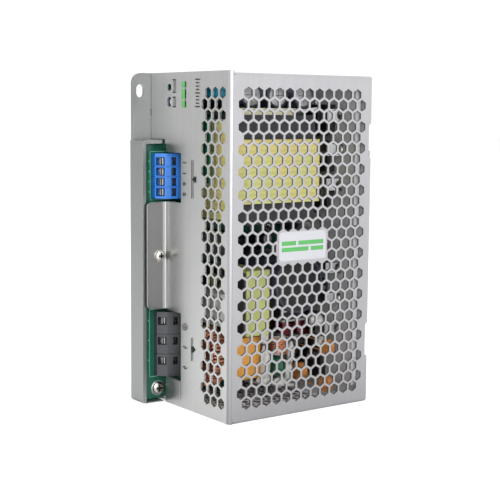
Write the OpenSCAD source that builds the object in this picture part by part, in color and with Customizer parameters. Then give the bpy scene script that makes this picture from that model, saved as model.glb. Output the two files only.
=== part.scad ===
// DIN rail power supply: a folded sheet metal chassis and a perforated cover round an open board.
// Frame: +Z up, -Y front (terminals), +Y rear (rail clip), +X perforated side, -X base plate.
// The origin is the middle of the bottom of the overall box.

/* [Case] */
// Width, from the base plate to the perforated side
case_w = 71.2; // [71.2:0.1:73]
// Height of the perforated side and the cover's top
case_h = 163.6; // [163.6:0.1:165]
// How far the front and the base plate stand above the cover's top
front_rise = 0.9; // [0:0.1:1]
// Depth of the perforated side, from the front face to its rear edge
side_depth = 85.3; // [85.3:0.1:87]
// How far the front lip stands forward of the cover's front face
lip_reach = 12; // [11.5:0.1:12]
// Overall depth, from the lip to the rear of the rail hook
overall_depth = 108; // [108:0.1:110]
// Thickness of the chassis sheet
chassis_t = 2; // [1.8:0.1:2]
// Thickness of the cover sheet
cover_t = 1; // [0.8:0.1:1]

/* [Perforation] */
// Distance between the centres of neighbouring holes
hex_pitch = 6; // [5.9:0.05:6]
// Width of a hole across its flats
hex_flat = 4.9; // [4.2:0.1:5]
// Rows of holes on the side and the front
hex_rows = 29; // [25:1:29]
// Height of the top row of holes
hex_top_z = 154.4; // [154:0.1:155]

/* [Terminals] */
// Distance between the poles of the output terminal
output_pitch = 5.08; // [5:0.01:5.1]
// Distance between the poles of the input terminal
input_pitch = 10.16; // [10:0.01:10.2]
// Height of the middle of the output terminal
output_z = 113.5; // [113.3:0.1:113.7]
// Height of the middle of the input terminal
input_z = 29.3; // [29.2:0.1:29.6]

/* [Rail clip] */
// Height of the middle of the rail
rail_z = 100; // [90:1:105]
// Width of the rail that the clip grips
rail_w = 35; // [35:0.1:35.2]
// Travel of the latch
latch_travel = 5; // [4:0.5:5]

/* [Board] */
// Gap between the base plate and the board
board_gap = 5.4; // [5.2:0.1:5.6]
// Thickness of the board
board_t = 1.6; // [1.6:0.1:1.8]

/* [Hidden] */
$fn = 48;

// Main planes of the case
side_x = case_w / 2;
front_top = case_h + front_rise;
base_x = -side_x;
base_in_x = base_x + chassis_t;
side_in_x = side_x - cover_t;
lip_y = -overall_depth / 2;
face_y = lip_y + lip_reach;
face_in_y = face_y + cover_t;
rear_edge_y = face_y + side_depth;
rear_wall_y = rear_edge_y - 1.4;
rear_in_y = rear_wall_y - chassis_t;

// Bends of the sheets
corner_r = 2;
rim_r = 1.5;
chassis_r = 2.5;
play = 0.3;
vent_r = 1.9;
tray_floor_t = 0.5;

// Front of the case: the tray for the terminals, the cut-outs and the flap
tray_top = 131.8;
tray_x = -21.9;
flap_x = -19.6;
cut_x = -5.9;
flap_lo = 47.9;
flap_hi = 101.3;
flap_y = face_y - 10.6;
flap_screw_y = face_y - 4;
flap_screw_z = (flap_lo + flap_hi) / 2;
output_cut = [101.5, 125.7];
input_cut = [13.1, 47.2];
sight_x = -16.5;
led_z = 157.3;
trimmer_z = 150.3;
tab_z = [143, 147.3];

// Perforation
hex_r = hex_flat / sqrt(3);
row_step = hex_pitch * sqrt(3) / 2;
side_start = face_y + 7;
front_start = side_x - 6.4;
blank_y = [-15.1, 16.1];
blank_rows = [13, 14, 15];
notches = [[23.1, 40.9], [123, 140.8]];

// Board
board_x = base_in_x + board_gap;
board_top = board_x + board_t;
board_step_z = 129.4;
board_front = face_y - 9.6;
board_points = [[face_y - 0.6, 6], [-37, 92], [36.2, 4.9], [28, 86.5], [30, 158]];
tapped_y = 25;
tapped_z = [22, 142];

// Section of a terminal, as height over the board and depth from its front
terminal_shape = [[0, 0], [2.8, 0], [6.6, 3.8], [8.8, 9.8], [8.8, 12.2], [8.4, 12.6], [0, 12.6]];
terminal_inset = [[-1, 0.35], [2.65, 0.35], [6.3, 4], [8.45, 9.9], [8.45, 14], [-1, 14]];
chamber_shape = [
    [3.15, 0.35], [3.5, -0.5], [7, 3], [6.26, 3.46], [5.5, 4.3], [6.3, 6.9], [7.63, 6.62],
    [9.6, 6.2], [10, 8.8], [8.48, 8.97], [7.2, 9.4], [7.2, 11], [0.9, 11], [0.9, 2.6],
];
clamp_hinge = [4.4, 9.9];
clamp_w = 3.2;
chamber_w = 4;
output_front = face_y - 3.8;
input_front = face_y - 2.8;
input_pole_shift = 1.6;

// Transformer: its middle, and the reach of its core and tape
trafo = [2.75, -7.7];
trafo_core_y = [-30.6, 15];
trafo_core_z = [92.4, 144.3];
trafo_leg = 7;
trafo_bar = 8.8;
trafo_tape_x = [-21.9, 28];
trafo_tape_y = [-32.9, 17.6];
trafo_tape_z = [102.5, 132.8];
trafo_flange_z = [101.5, 133.4];
trafo_flange_t = 0.6;
trafo_front_x = [-4, 26];
trafo_front_z = [94.6, 142];
pad_t = 3.2;

// Capacitors and chokes
capacitor_top = 13;
output_capacitor_y = [-13.8, 2.6, 18.4];
output_capacitor_z = 153.9;
output_capacitor_r = 6.5;
filter_capacitor_pos = [-30.6, 155.6];
filter_capacitor_r = 4;
bulk_pos = [13, 60.5];
bulk_top = 18.4;
bulk_r = 15;
choke_y = [15.6, 25.4];
rod_pos = [12.4, 4.4];
toroid_pos = [1, -31.6, 26];
toroid_out = 15;
toroid_in = 6.5;
toroid_half = 5;

// Heat sinks and what is screwed to them
sink_y = 35;
sink_t = 3;
sink_x = [board_top, 33.4];
upper_sink_z = [90, 160];
lower_sink_z = [8.8, 84];
rectifier_z = [142, 124, 105.5];
transistor_z = [74, 56, 38];
bridge_z = 20;

// Rail clip
seat_y = rear_wall_y + 6;
hook_y = overall_depth / 2;
rail_hi = rail_z + rail_w / 2;
rail_lo = rail_z - rail_w / 2;
adapter_w = 46;
adapter_screw_x = [-18, 18];
adapter_screw_z = [rail_z - 24, rail_z + 22];
latch_w = 23.4;

// A block between two opposite corners
module block(lo, hi) {
    translate(lo) cube(hi - lo);
}

// Cylinders along X, Y and Z between two stations
module rod_x(r, x0, x1, y, z) {
    translate([x0, y, z]) rotate([0, 90, 0]) cylinder(r = r, h = x1 - x0);
}

module rod_y(r, x, y0, y1, z) {
    translate([x, y0, z]) rotate([-90, 0, 0]) cylinder(r = r, h = y1 - y0);
}

module rod_z(r, x, y, z0, z1) {
    translate([x, y, z0]) cylinder(r = r, h = z1 - z0);
}

// Outlines drawn in Y and Z, X and Z, or X and Y, thickened along the third axis
module plate_x(x0, t) {
    translate([x0, 0, 0]) rotate([90, 0, 90]) linear_extrude(t) children();
}

module plate_y(y0, t) {
    translate([0, y0 + t, 0]) rotate([90, 0, 0]) linear_extrude(t) children();
}

module plate_z(z0, t) {
    translate([0, 0, z0]) linear_extrude(t) children();
}

module rect(lo, hi) {
    translate(lo) square(hi - lo);
}

module hexagon(centre) {
    translate(centre) rotate(30) circle(r = hex_r, $fn = 6);
}

// A quarter of a bent sheet: from its centre towards the signs given
module quarter_ring(centre, r, t, signs) {
    translate(centre) intersection() {
        difference() {
            circle(r = r);
            circle(r = r - t);
        }
        rect([min(0, signs[0] * r), min(0, signs[1] * r)], [max(0, signs[0] * r), max(0, signs[1] * r)]);
    }
}

// A bar of the section's plane between two points
module bar(a, b, t) {
    translate(a) rotate(atan2(b[1] - a[1], b[0] - a[0])) translate([0, -t / 2]) square([norm(b - a), t]);
}

// A rectangle with round corners
module round_rect(lo, hi, r) {
    rect([lo[0] + r, lo[1]], [hi[0] - r, hi[1]]);
    rect([lo[0], lo[1] + r], [hi[0], hi[1] - r]);
    for (x = [lo[0] + r, hi[0] - r], y = [lo[1] + r, hi[1] - r]) translate([x, y]) circle(r = r);
}

// ---------------------------------------------------------------- chassis

module tray_shell() {
    difference() {
        intersection() {
            plate_z(0, tray_top) {
                rect([base_x + chassis_r, lip_y], [tray_x, face_y - play]);
                rect([base_x, lip_y + chassis_r], [tray_x, face_y - play]);
                translate([base_x + chassis_r, lip_y + chassis_r]) circle(r = chassis_r);
            }
            plate_x(base_x, case_w) {
                rect([lip_y, chassis_r], [face_y - play, tray_top - chassis_r]);
                rect([lip_y + chassis_r, 0], [face_y - play, tray_top]);
                for (z = [chassis_r, tray_top - chassis_r])
                    translate([lip_y + chassis_r, z]) circle(r = chassis_r);
            }
        }
        block([base_in_x, lip_y + chassis_t, chassis_t], [0, 0, tray_top - chassis_t]);
        block([board_x - 0.3, lip_y + chassis_t, tray_floor_t], [0, 0, tray_top - chassis_t]);
    }
}

module base_plate() {
    plate_front = face_y - 10.5;
    nose_r = 5;
    plate_x(base_x, chassis_t) difference() {
        union() {
            rect([plate_front, tray_top - 1], [face_y, front_top - nose_r]);
            rect([plate_front + nose_r, tray_top], [face_y, front_top]);
            translate([plate_front + nose_r, front_top - nose_r]) circle(r = nose_r);
            rect([face_y - 1, 0], [rear_wall_y - chassis_r, front_top]);
        }
        for (z = [154.7, 156.7]) translate([face_y - 6.2, z]) circle(r = 2.3);
        rect([face_y - 8.5, 154.7], [face_y - 3.9, 156.7]);
        rect([face_y - play, tab_z[0] - play], [face_in_y + play, tab_z[1] + play]);
        for (y = [-tapped_y, tapped_y], z = tapped_z) translate([y, z]) circle(r = 2);
    }
}

module chassis() {
    color("silver") {
        tray_shell();
        base_plate();
        plate_z(1.4, case_h - 2.8)
            quarter_ring([base_x + chassis_r, rear_wall_y - chassis_r], chassis_r, chassis_t, [-1, 1]);
        plate_y(rear_in_y, chassis_t) difference() {
            rect([base_x + chassis_r, 1.4], [side_in_x - play, case_h - 1.4]);
            for (x = adapter_screw_x, z = adapter_screw_z) translate([x, z]) circle(r = 1.25);
            for (x = [-24:8:24], z = [14, 24, 34]) translate([x, z]) circle(r = vent_r);
        }
    }
}

// ------------------------------------------------------------------ cover

function row_z(row) = hex_top_z - row * row_step;
function side_y(row, i) = side_start + (i + (row % 2 == 0 ? 0.5 : 0)) * hex_pitch;
function side_blank(row, i) =
    len(search(row, blank_rows)) > 0
    && side_y(row, i) > blank_y[0] && side_y(row, i) <= blank_y[1];

// What is left of a hole that the blank field cuts, on the outer side of the edge
module cut_hexagon(centre, edge, side) {
    reach = hex_flat / 2;
    tall = hex_r / 2 * (1 + (reach - side * (edge - centre[0])) / reach);
    outer = centre[0] + side * reach;
    if (side * (edge - centre[0]) > 0)
        polygon([
            [outer, centre[1] - hex_r / 2], [outer, centre[1] + hex_r / 2],
            [edge, centre[1] + tall], [edge, centre[1] - tall],
        ]);
}

module side_sheet() {
    plate_x(side_in_x, cover_t) difference() {
        rect([face_y + corner_r, rim_r], [rear_edge_y, case_h - rim_r]);
        for (row = [0:hex_rows - 1], i = [0:(row % 2 == 0 ? 11 : 12)])
            if (!side_blank(row, i)) hexagon([side_y(row, i), row_z(row)]);
        cut_hexagon([side_y(14, 3), row_z(14)], blank_y[0], -1);
        cut_hexagon([side_y(14, 8), row_z(14)], blank_y[1], 1);
        for (n = notches)
            polygon([
                [rear_edge_y + 1, n[0] - 1], [rear_edge_y - 1.4, n[0] + 1.4],
                [rear_edge_y - 1.4, n[1] - 1.4], [rear_edge_y + 1, n[1] + 1],
            ]);
    }
}

module front_sheet() {
    left = base_in_x + 0.2;
    plate_y(face_y, cover_t) difference() {
        polygon([
            [side_x - corner_r, 0], [side_x - corner_r, front_top], [left, front_top],
            [left, tab_z[1]], [base_x + 0.5, tab_z[1]], [base_x + 0.5, tab_z[0]], [left, tab_z[0]],
            [left, tray_top + play], [flap_x - 1, tray_top + play], [flap_x - 1, tray_top - chassis_t],
            [flap_x, tray_top - chassis_t], [flap_x, output_cut[1] + 1.4], [flap_x + 1.4, output_cut[1]],
            [cut_x, output_cut[1]], [cut_x, output_cut[0]], [flap_x + 1, output_cut[0]],
            [flap_x + 1, input_cut[1]], [cut_x, input_cut[1]], [cut_x, input_cut[0]],
            [flap_x, input_cut[0]], [flap_x, 0],
        ]);
        for (row = [0:hex_rows - 1], i = [0:2])
            hexagon([front_start - (i + (row % 2 == 0 ? 0 : 0.5)) * hex_pitch, row_z(row)]);
        translate([sight_x, led_z]) circle(r = 1.75);
        translate([sight_x, trimmer_z]) circle(r = 2.35);
        rect([cut_x - 0.3, 4], [cut_x, input_cut[0] + 1]);
    }
}

module end_sheet(z0) {
    plate_z(z0, cover_t) difference() {
        rect([base_in_x + 0.2, face_y + 2.4], [side_x - rim_r, rear_edge_y]);
        for (row = [0:9], i = [0:(row % 2 == 0 ? 8 : 9)])
            hexagon([(i - (row % 2 == 0 ? 4 : 4.5)) * hex_pitch, (row - 4.5) * row_step + 0.5]);
    }
}

module cover() {
    color("gainsboro") {
        side_sheet();
        front_sheet();
        plate_z(0, front_top)
            quarter_ring([side_x - corner_r, face_y + corner_r], corner_r, cover_t, [1, -1]);
        end_sheet(0);
        end_sheet(case_h - cover_t);
        plate_y(face_y + 2.4, side_depth - 2.4) {
            quarter_ring([side_x - rim_r, rim_r], rim_r, cover_t, [1, -1]);
            quarter_ring([side_x - rim_r, case_h - rim_r], rim_r, cover_t, [1, 1]);
        }
        plate_z(flap_lo, flap_hi - flap_lo)
            quarter_ring([flap_x + 1, face_y - 1], corner_r, cover_t, [-1, 1]);
        plate_x(flap_x - cover_t, cover_t) difference() {
            union() {
                rect([flap_y + 2.5, flap_lo], [face_y - 1, flap_hi]);
                rect([flap_y, flap_lo + 2.5], [flap_y + 2.6, flap_hi - 2.5]);
                for (z = [flap_lo + 2.5, flap_hi - 2.5]) translate([flap_y + 2.5, z]) circle(r = 2.5);
            }
            translate([flap_screw_y, flap_screw_z]) circle(r = 1.7);
        }
    }
}

module badge_plate() {
    color("whitesmoke") plate_x(side_x, 0.35) round_rect([-13.7, 75.3], [14.9, 89.2], 1.5);
}

// ------------------------------------------------------- board and fixings

module insulation_sheet() {
    color("dimgray") plate_x(base_in_x + 0.1, 0.4) difference() {
        rect([face_y + 2, 3], [rear_in_y - 3, case_h - 3]);
        for (p = board_points) translate(p) circle(r = 3.6);
    }
}

module main_board() {
    color("seagreen") plate_x(board_x, board_t) difference() {
        union() {
            rect([board_front, tray_floor_t + 0.3], [face_y + 1.6, board_step_z]);
            rect([face_y + 1.5, 1.6], [rear_in_y - 0.9, case_h - 3.4]);
        }
        for (p = board_points) translate(p) circle(r = 1.7);
        translate([flap_screw_y, flap_screw_z]) circle(r = 3.4);
        for (i = [0:3]) translate([output_front + 7, output_pole_z(i)]) circle(r = 0.6);
        for (i = [0:2]) translate([input_front + 7, input_pole_z(i)]) circle(r = 0.6);
    }
}

module board_standoffs() {
    color("lightgray") for (p = board_points) difference() {
        rod_x(3, base_in_x, board_x, p[0], p[1]);
        rod_x(1.3, base_in_x + 0.4, board_x + 1, p[0], p[1]);
    }
}

// A pan head screw along X with a cross recess, its head resting on x0
module pan_screw(x0, y, z, head_r, head_h, shank_r, shank) {
    difference() {
        union() {
            rod_x(head_r, x0, x0 + head_h * 0.55, y, z);
            translate([x0 + head_h * 0.55, y, z]) rotate([0, 90, 0])
                cylinder(r1 = head_r, r2 = head_r * 0.62, h = head_h * 0.45);
            rod_x(shank_r, x0 - shank, x0, y, z);
        }
        for (arm = [[head_r * 0.55, 0.35], [0.35, head_r * 0.55]])
            block([x0 + head_h * 0.4, y - arm[0], z - arm[1]], [x0 + head_h + 1, y + arm[0], z + arm[1]]);
    }
}

module board_screws() {
    color("lightgray") for (p = board_points) pan_screw(board_top, p[0], p[1], 3.4, 2.2, 1.25, 5);
}

module flap_pillar() {
    color("goldenrod") difference() {
        translate([base_in_x, flap_screw_y, flap_screw_z]) rotate([0, 90, 0])
            cylinder(r = 3.1, h = flap_x - cover_t - base_in_x, $fn = 6);
        rod_x(1.3, base_in_x + 4, flap_x, flap_screw_y, flap_screw_z);
    }
}

module flap_washer() {
    color("lightgray") difference() {
        rod_x(3, flap_x, flap_x + 0.5, flap_screw_y, flap_screw_z);
        rod_x(1.6, flap_x - 1, flap_x + 1, flap_screw_y, flap_screw_z);
    }
}

module flap_screw() {
    color("lightgray") pan_screw(flap_x + 0.5, flap_screw_y, flap_screw_z, 2.7, 2, 1.25, 7);
}

// -------------------------------------------------------------- terminals

function output_pole_z(i) = output_z + (1.5 - i) * output_pitch;
function input_pole_z(i) = input_z + input_pole_shift + (1 - i) * input_pitch;

// A terminal block: its section along Z, with a chamber, a hinge pin and a pin hole for each pole
module terminal_housing(front, z_mid, length, poles, joints) {
    translate([board_top, front, 0]) {
        difference() {
            plate_z(z_mid - length / 2, length) polygon(terminal_shape);
            for (z = poles) plate_z(z - chamber_w / 2, chamber_w) polygon(chamber_shape);
            for (z = joints) plate_z(z - 0.2, 0.4) difference() {
                polygon([[-2, -2], [10, -2], [10, 14], [-2, 14]]);
                polygon(terminal_inset);
            }
            for (z = poles) rod_x(0.6, -1, 2, 7, z);
        }
        for (z = poles) rod_z(0.3, clamp_hinge[0], clamp_hinge[1], z - chamber_w / 2, z + chamber_w / 2);
    }
}

module output_terminal_housing() {
    poles = [for (i = [0:3]) output_pole_z(i)];
    joints = [for (i = [0:2]) output_z + (1 - i) * output_pitch];
    color("dodgerblue") terminal_housing(output_front, output_z + 0.3, 22.4, poles, joints);
}

module input_terminal_housing() {
    poles = [for (i = [0:2]) input_pole_z(i)];
    joints = [for (i = [0:1]) input_z + (0.5 - i) * input_pitch];
    color("dimgray") terminal_housing(input_front, input_z, 32.8, poles, joints);
}

module contact_bars(front, poles) {
    translate([board_top, front, 0]) for (z = poles) {
        block([0.9, 3.4, z - 1.5], [1.3, 10.2, z + 1.5]);
        rod_x(0.45, -3.6, 1, 7, z);
    }
}

module output_contact_bars() {
    color("gold") contact_bars(output_front, [for (i = [0:3]) output_pole_z(i)]);
}

module input_contact_bars() {
    color("gold") contact_bars(input_front, [for (i = [0:2]) input_pole_z(i)]);
}

// A sprung clamp: two legs in the wire entry, an arm to the hinge pin, and a lever under the tool slot
module clamp(front, z) {
    color("lightsteelblue") translate([board_top, front, 0]) plate_z(z - clamp_w / 2, clamp_w) difference() {
        union() {
            bar([3.9, 2.4], [2.7, 3.9], 0.5);
            bar([4.9, 3.3], [3.4, 4.9], 0.5);
            bar([2.6, 3.7], [3.5, 5.1], 0.5);
            bar([3.4, 4.9], clamp_hinge, 0.5);
            bar(clamp_hinge, [6.4, 7.7], 0.5);
            translate(clamp_hinge) circle(r = 0.75);
        }
        translate(clamp_hinge) circle(r = 0.36);
    }
}

// ------------------------------------------------------------ transformer

module transformer_core() {
    x_lo = trafo[0] - 23.75;
    x_hi = trafo[0] + 23.75;
    color("dimgray") {
        for (z = [trafo_core_z[0], trafo_core_z[1] - trafo_bar])
            block([x_lo, trafo_core_y[0], z], [x_hi, trafo_core_y[1], z + trafo_bar]);
        for (x = [x_lo, x_hi - trafo_leg])
            block([x, trafo_core_y[0], trafo_core_z[0]], [x + trafo_leg, trafo_core_y[1], trafo_core_z[1]]);
        rod_z(8, trafo[0], trafo[1], trafo_core_z[0] + 1, trafo_core_z[1] - 1);
    }
}

// The tube on the core's middle leg, its two flanges, and the feet that carry the pins
module transformer_bobbin() {
    lo = trafo_flange_z[0];
    hi = trafo_flange_z[1] + trafo_flange_t;
    color("ivory") difference() {
        union() {
            rod_z(9.3, trafo[0], trafo[1], lo, hi);
            for (z = trafo_flange_z) block([board_top, -30.4, z], [19.2, 17.3, z + trafo_flange_t]);
            for (y = [-30.4, 15.4], z = [lo, hi - 2.1]) block([board_top, y, z], [-22.3, y + 1.9, z + 2.1]);
        }
        rod_z(8.2, trafo[0], trafo[1], lo - 5, hi + 5);
        block([-30, trafo_core_y[0] - 0.2, lo - 5], [-13.8, trafo_core_y[1] + 0.2, hi + 5]);
    }
}

module transformer_winding() {
    lo = trafo_flange_z[0] + trafo_flange_t + 0.1;
    color("peru") plate_z(lo, trafo_flange_z[1] - 0.1 - lo) difference() {
        round_rect([-13, -31.6], [18.5, 16.2], 9);
        translate(trafo) circle(r = 9.5);
    }
}

// The tape goes round the outer legs, and a taller lap of it closes the open front
module transformer_tape() {
    lo = [trafo_tape_x[0], trafo_tape_y[0]];
    hi = [trafo_tape_x[1], trafo_tape_y[1]];
    color("khaki") {
        plate_z(trafo_tape_z[0], trafo_tape_z[1] - trafo_tape_z[0]) difference() {
            round_rect(lo, hi, 1.6);
            round_rect(lo + [0.7, 0.8], hi - [0.8, 0.8], 1);
        }
        plate_y(lo[1] - 0.5, 1.4)
            rect([trafo_front_x[0], trafo_front_z[0]], [trafo_front_x[1], trafo_front_z[1]]);
    }
}

module transformer_pad() {
    base = trafo_core_z[1] + 0.1;
    color("cornsilk") block([19, -30, base], [26.4, 3, base + pad_t]);
}

module auxiliary_core() {
    color("darkslategray") difference() {
        block([-24.6, -30, 73.2], [-4, -10, 85.8]);
        block([-20.6, -31, 76.6], [-8, -9, 82.4]);
    }
}

module auxiliary_winding() {
    color("khaki") {
        block([-20.4, -31.4, 76.8], [-8.2, -8.6, 82.2]);
        for (y = [-31.4, -9.8]) block([board_top, y, 77], [-20.3, y + 1.2, 82]);
    }
}

// ------------------------------------------------- heat sinks and devices

module heat_sink(z) {
    difference() {
        union() {
            block([sink_x[0], sink_y, z[0]], [sink_x[1], sink_y + sink_t, z[1]]);
            for (x = [4:4.6:22.4])
                block([x, sink_y + sink_t - 1, z[0]], [x + 1.2, sink_y + sink_t + 1.4, z[1]]);
        }
        children();
    }
}

module upper_heat_sink() {
    color("darkgray") heat_sink(upper_sink_z) {
        for (z = rectifier_z) rod_y(1.3, 13, 30, 45, z);
    }
}

module lower_heat_sink() {
    color("darkgray") heat_sink(lower_sink_z) {
        for (z = transistor_z) rod_y(1.3, 11, 30, 45, z);
        rod_y(1.3, 6, 30, 45, bridge_z);
    }
}

// A moulded device on a heat sink: body, metal tab and legs down to the board
module device(z, half_w, x0, x1, t, tab_x, leg_z) {
    difference() {
        union() {
            block([x0, sink_y - t, z - half_w], [x1, sink_y, z + half_w]);
            if (tab_x > x1) block([x1, sink_y - 1.4, z - half_w], [tab_x, sink_y, z + half_w]);
            for (leg = leg_z) translate([board_top, sink_y - t / 2 - 0.3, z + leg - 0.5])
                cube([x0 + 1 - board_top, 0.6, 1]);
        }
        children();
    }
}

module rectifiers() {
    color("darkslategray") for (z = rectifier_z)
        device(z, 7.8, -3, 18, 4.8, 0, [-5.4, 0, 5.4]) rod_y(1.8, 13, 20, 45, z);
}

module power_transistors() {
    color("darkslategray") for (z = transistor_z)
        device(z, 5.1, -2, 7.5, 4.5, 14, [-2.54, 0, 2.54]) rod_y(1.8, 11, 20, 45, z);
}

module bridge_rectifier() {
    color("black") device(bridge_z, 11, -6, 13, 3.6, 0, [-7.6, -2.5, 2.5, 7.6])
        rod_y(1.6, 6, 20, 45, bridge_z);
}

// A pan head screw along Y, its head on the front of a device
module device_screw(x, y, z) {
    difference() {
        union() {
            rod_y(2.7, x, y - 1.6, y, z);
            rod_y(1.25, x, y - 1, sink_y + sink_t, z);
        }
        block([x - 1.6, y - 3, z - 0.35], [x + 1.6, y - 0.9, z + 0.35]);
        block([x - 0.35, y - 3, z - 1.6], [x + 0.35, y - 0.9, z + 1.6]);
    }
}

module device_screws() {
    color("lightgray") {
        for (z = rectifier_z) device_screw(13, sink_y - 4.8, z);
        for (z = transistor_z) device_screw(11, sink_y - 1.4, z);
        device_screw(6, sink_y - 3.6, bridge_z);
    }
}

// ------------------------------------------------------- capacitors, chokes

// An electrolytic capacitor along X: can with a rolled groove near the board and a scored top
module electrolytic(r, top, y, z) {
    bead = board_top + 3.4;
    difference() {
        rod_x(r, board_top, top, y, z);
        difference() {
            rod_x(r + 1, bead - 0.7, bead + 0.7, y, z);
            rod_x(r - 0.6, bead - 1, bead + 1, y, z);
        }
        block([top - 0.25, y - r * 0.6, z - 0.2], [top + 1, y + r * 0.6, z + 0.2]);
        block([top - 0.25, y - 0.2, z - r * 0.6], [top + 1, y + 0.2, z + r * 0.6]);
    }
}

module output_capacitors() {
    color("dimgray") for (y = output_capacitor_y)
        electrolytic(output_capacitor_r, capacitor_top, y, output_capacitor_z);
}

module filter_capacitor() {
    color("deepskyblue") electrolytic(
        filter_capacitor_r, capacitor_top + 1, filter_capacitor_pos[0], filter_capacitor_pos[1]);
}

module bulk_capacitor() {
    color("black") electrolytic(bulk_r, bulk_top, bulk_pos[0], bulk_pos[1]);
}

module line_capacitor() {
    color("khaki") difference() {
        block([-11, -20.9, 37.2], [20, -7.1, 69.3]);
        block([-12, -19.6, 38.4], [-10.2, -8.4, 68.1]);
    }
}

// A hollow foot under the capacitor, and a clip that holds its front edge
module capacitor_carrier() {
    color("black") {
        difference() {
            block([board_top, -22.2, 38], [-11.2, -8, 68.5]);
            block([board_top - 1, -18.4, 41], [-14, -10, 65.5]);
        }
        for (z = [38, 65.5]) block([-12, -22.2, z], [19.4, -21.2, z + 3]);
        block([12, -22.2, 38], [19.4, -21.2, 68.5]);
    }
}

module interference_capacitor() {
    color("orange") difference() {
        block([board_top, -24, 13.4], [10, -5, 34.4]);
        block([board_top - 1, -22.6, 14.8], [board_top + 0.8, -6.4, 33]);
    }
}

module toroid_core() {
    half = toroid_half - 1.8;
    color("olivedrab") difference() {
        rod_y(toroid_out - 2, toroid_pos[0], toroid_pos[1] - half, toroid_pos[1] + half, toroid_pos[2]);
        rod_y(toroid_in + 2, toroid_pos[0], -60, 0, toroid_pos[2]);
    }
}

// The copper layer: a ring with a round outer skin and a hollow for the core
module toroid_winding() {
    mid = (toroid_out + toroid_in) / 2;
    half = (toroid_out - toroid_in) / 2;
    color("peru") translate(toroid_pos) rotate([90, 0, 0]) difference() {
        rotate_extrude() translate([mid, 0]) intersection() {
            circle(r = toroid_half + 0.6);
            rect([-half, -toroid_half], [half, toroid_half]);
        }
        difference() {
            translate([0, 0, -toroid_half + 1.7]) cylinder(r = toroid_out - 1.9, h = 2 * toroid_half - 3.4);
            translate([0, 0, -toroid_half]) cylinder(r = toroid_in + 1.9, h = 2 * toroid_half);
        }
    }
}

module toroid_base() {
    color("black") difference() {
        block([board_top, toroid_pos[1] - 0.4, 14], [-10.6, toroid_pos[1] + 4, 38]);
        rod_y(toroid_out + 0.2, toroid_pos[0], -60, 0, toroid_pos[2]);
    }
}

// Closed ring in the plane of the board, with a coil round each of its two upright sides
module filter_choke_core() {
    color("dimgray") difference() {
        block([-4, choke_y[0] - 2, 26.4], [4, choke_y[1] + 2, 44.4]);
        block([-5, choke_y[0] + 2, 30.4], [5, choke_y[1] - 2, 40.4]);
    }
}

module filter_choke_bobbin() {
    color("whitesmoke") {
        for (y = choke_y, z = [30.5, 39.3]) difference() {
            block([-7, y - 4.6, z], [7, y + 4.6, z + 1]);
            block([-4.2, y - 2.2, z - 1], [4.2, y + 2.2, z + 2]);
        }
        for (y = choke_y, z = [30.5, 39.3]) block([board_top, y - 2, z], [-7, y + 2, z + 1]);
    }
}

module filter_choke_winding() {
    color("firebrick") for (y = choke_y) difference() {
        block([-7, y - 4.6, 31.6], [7, y + 4.6, 39.2]);
        block([-4.2, y - 2.2, 31], [4.2, y + 2.2, 40]);
    }
}

// Upright coil on a round rod, on a foot that stands on the board
module rod_choke() {
    color("peru") {
        rod_z(5, rod_pos[0], rod_pos[1], 25, 34);
        rod_z(2.4, rod_pos[0], rod_pos[1], 23.6, 35.6);
        block([board_top, rod_pos[1] - 3, 26.5], [rod_pos[0] - 3, rod_pos[1] + 3, 32.5]);
    }
}

module inrush_relay() {
    color("gainsboro") difference() {
        block([board_top, -31.8, 42.4], [13.4, -22.4, 58]);
        block([board_top - 1, -31, 43.2], [board_top + 0.6, -23.2, 57.2]);
    }
}

module fuse() {
    fuse_x = -20.4;
    color("lightgoldenrodyellow") {
        rod_y(2.4, fuse_x, 5, 13, 11);
        for (y = [0, 13]) rod_y(2.7, fuse_x, y, y + 5, 11);
        for (y = [0.8, 14.4]) block([board_top, y, 9.6], [fuse_x - 2, y + 2.6, 12.4]);
    }
}

// A disc on two wire legs that go down to the board
module disc_part(r, t, x, y, z, leg) {
    rod_y(r, x, y - t / 2, y + t / 2, z);
    for (dz = [-leg, leg]) rod_x(0.4, board_top, x - r * 0.6, y, z + dz);
}

module surge_varistor() {
    color("royalblue") disc_part(5, 4, -14, -34.6, 64, 2.5);
}

module inrush_thermistor() {
    color("darkolivegreen") disc_part(5.4, 5, 8, 4.6, 18, 3);
}

module suppression_capacitors() {
    color("chocolate") {
        disc_part(4.5, 3.6, 6, 23.4, 12.6, 2.5);
        disc_part(4.5, 3.6, -8, 9.6, 20, 2.5);
        disc_part(4.5, 3.6, -14, 32.3, 88.5, 2.5);
        disc_part(4, 3, 20, 29.8, 7.6, 2);
        disc_part(4, 3, 20, 30.3, 26.8, 2.4);
    }
}

// --------------------------------------------------------- controls, lamp

module control_board() {
    color("seagreen") plate_y(-39, 1.6) {
        rect([board_top, 127.6], [13.6, 143]);
        rect([-3, 112], [13.6, 128]);
    }
    color("black") {
        block([-18, -37.4, 131], [-10, -35.9, 140]);
        block([2, -37.4, 117], [8, -36.2, 125]);
        for (z = [130, 134, 138]) block([0, -40, z], [4.6, -39, z + 2]);
    }
}

module trimmer_body() {
    color("royalblue") {
        difference() {
            block([sight_x - 5, -39.9, trimmer_z - 4.9], [sight_x + 5, -34.8, trimmer_z + 4.9]);
            rod_y(1.76, sight_x, -45, -38.1, trimmer_z);
        }
        for (z = [trimmer_z - 2.54, trimmer_z + 2.54])
            block([board_top, -37.6, z - 0.3], [sight_x - 5, -37, z + 0.3]);
    }
}

module trimmer_rotor() {
    color("white") difference() {
        rod_y(1.7, sight_x, -40.6, -38.2, trimmer_z);
        block([sight_x - 0.3, -41, trimmer_z - 2], [sight_x + 0.3, -40, trimmer_z + 2]);
    }
}

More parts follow.
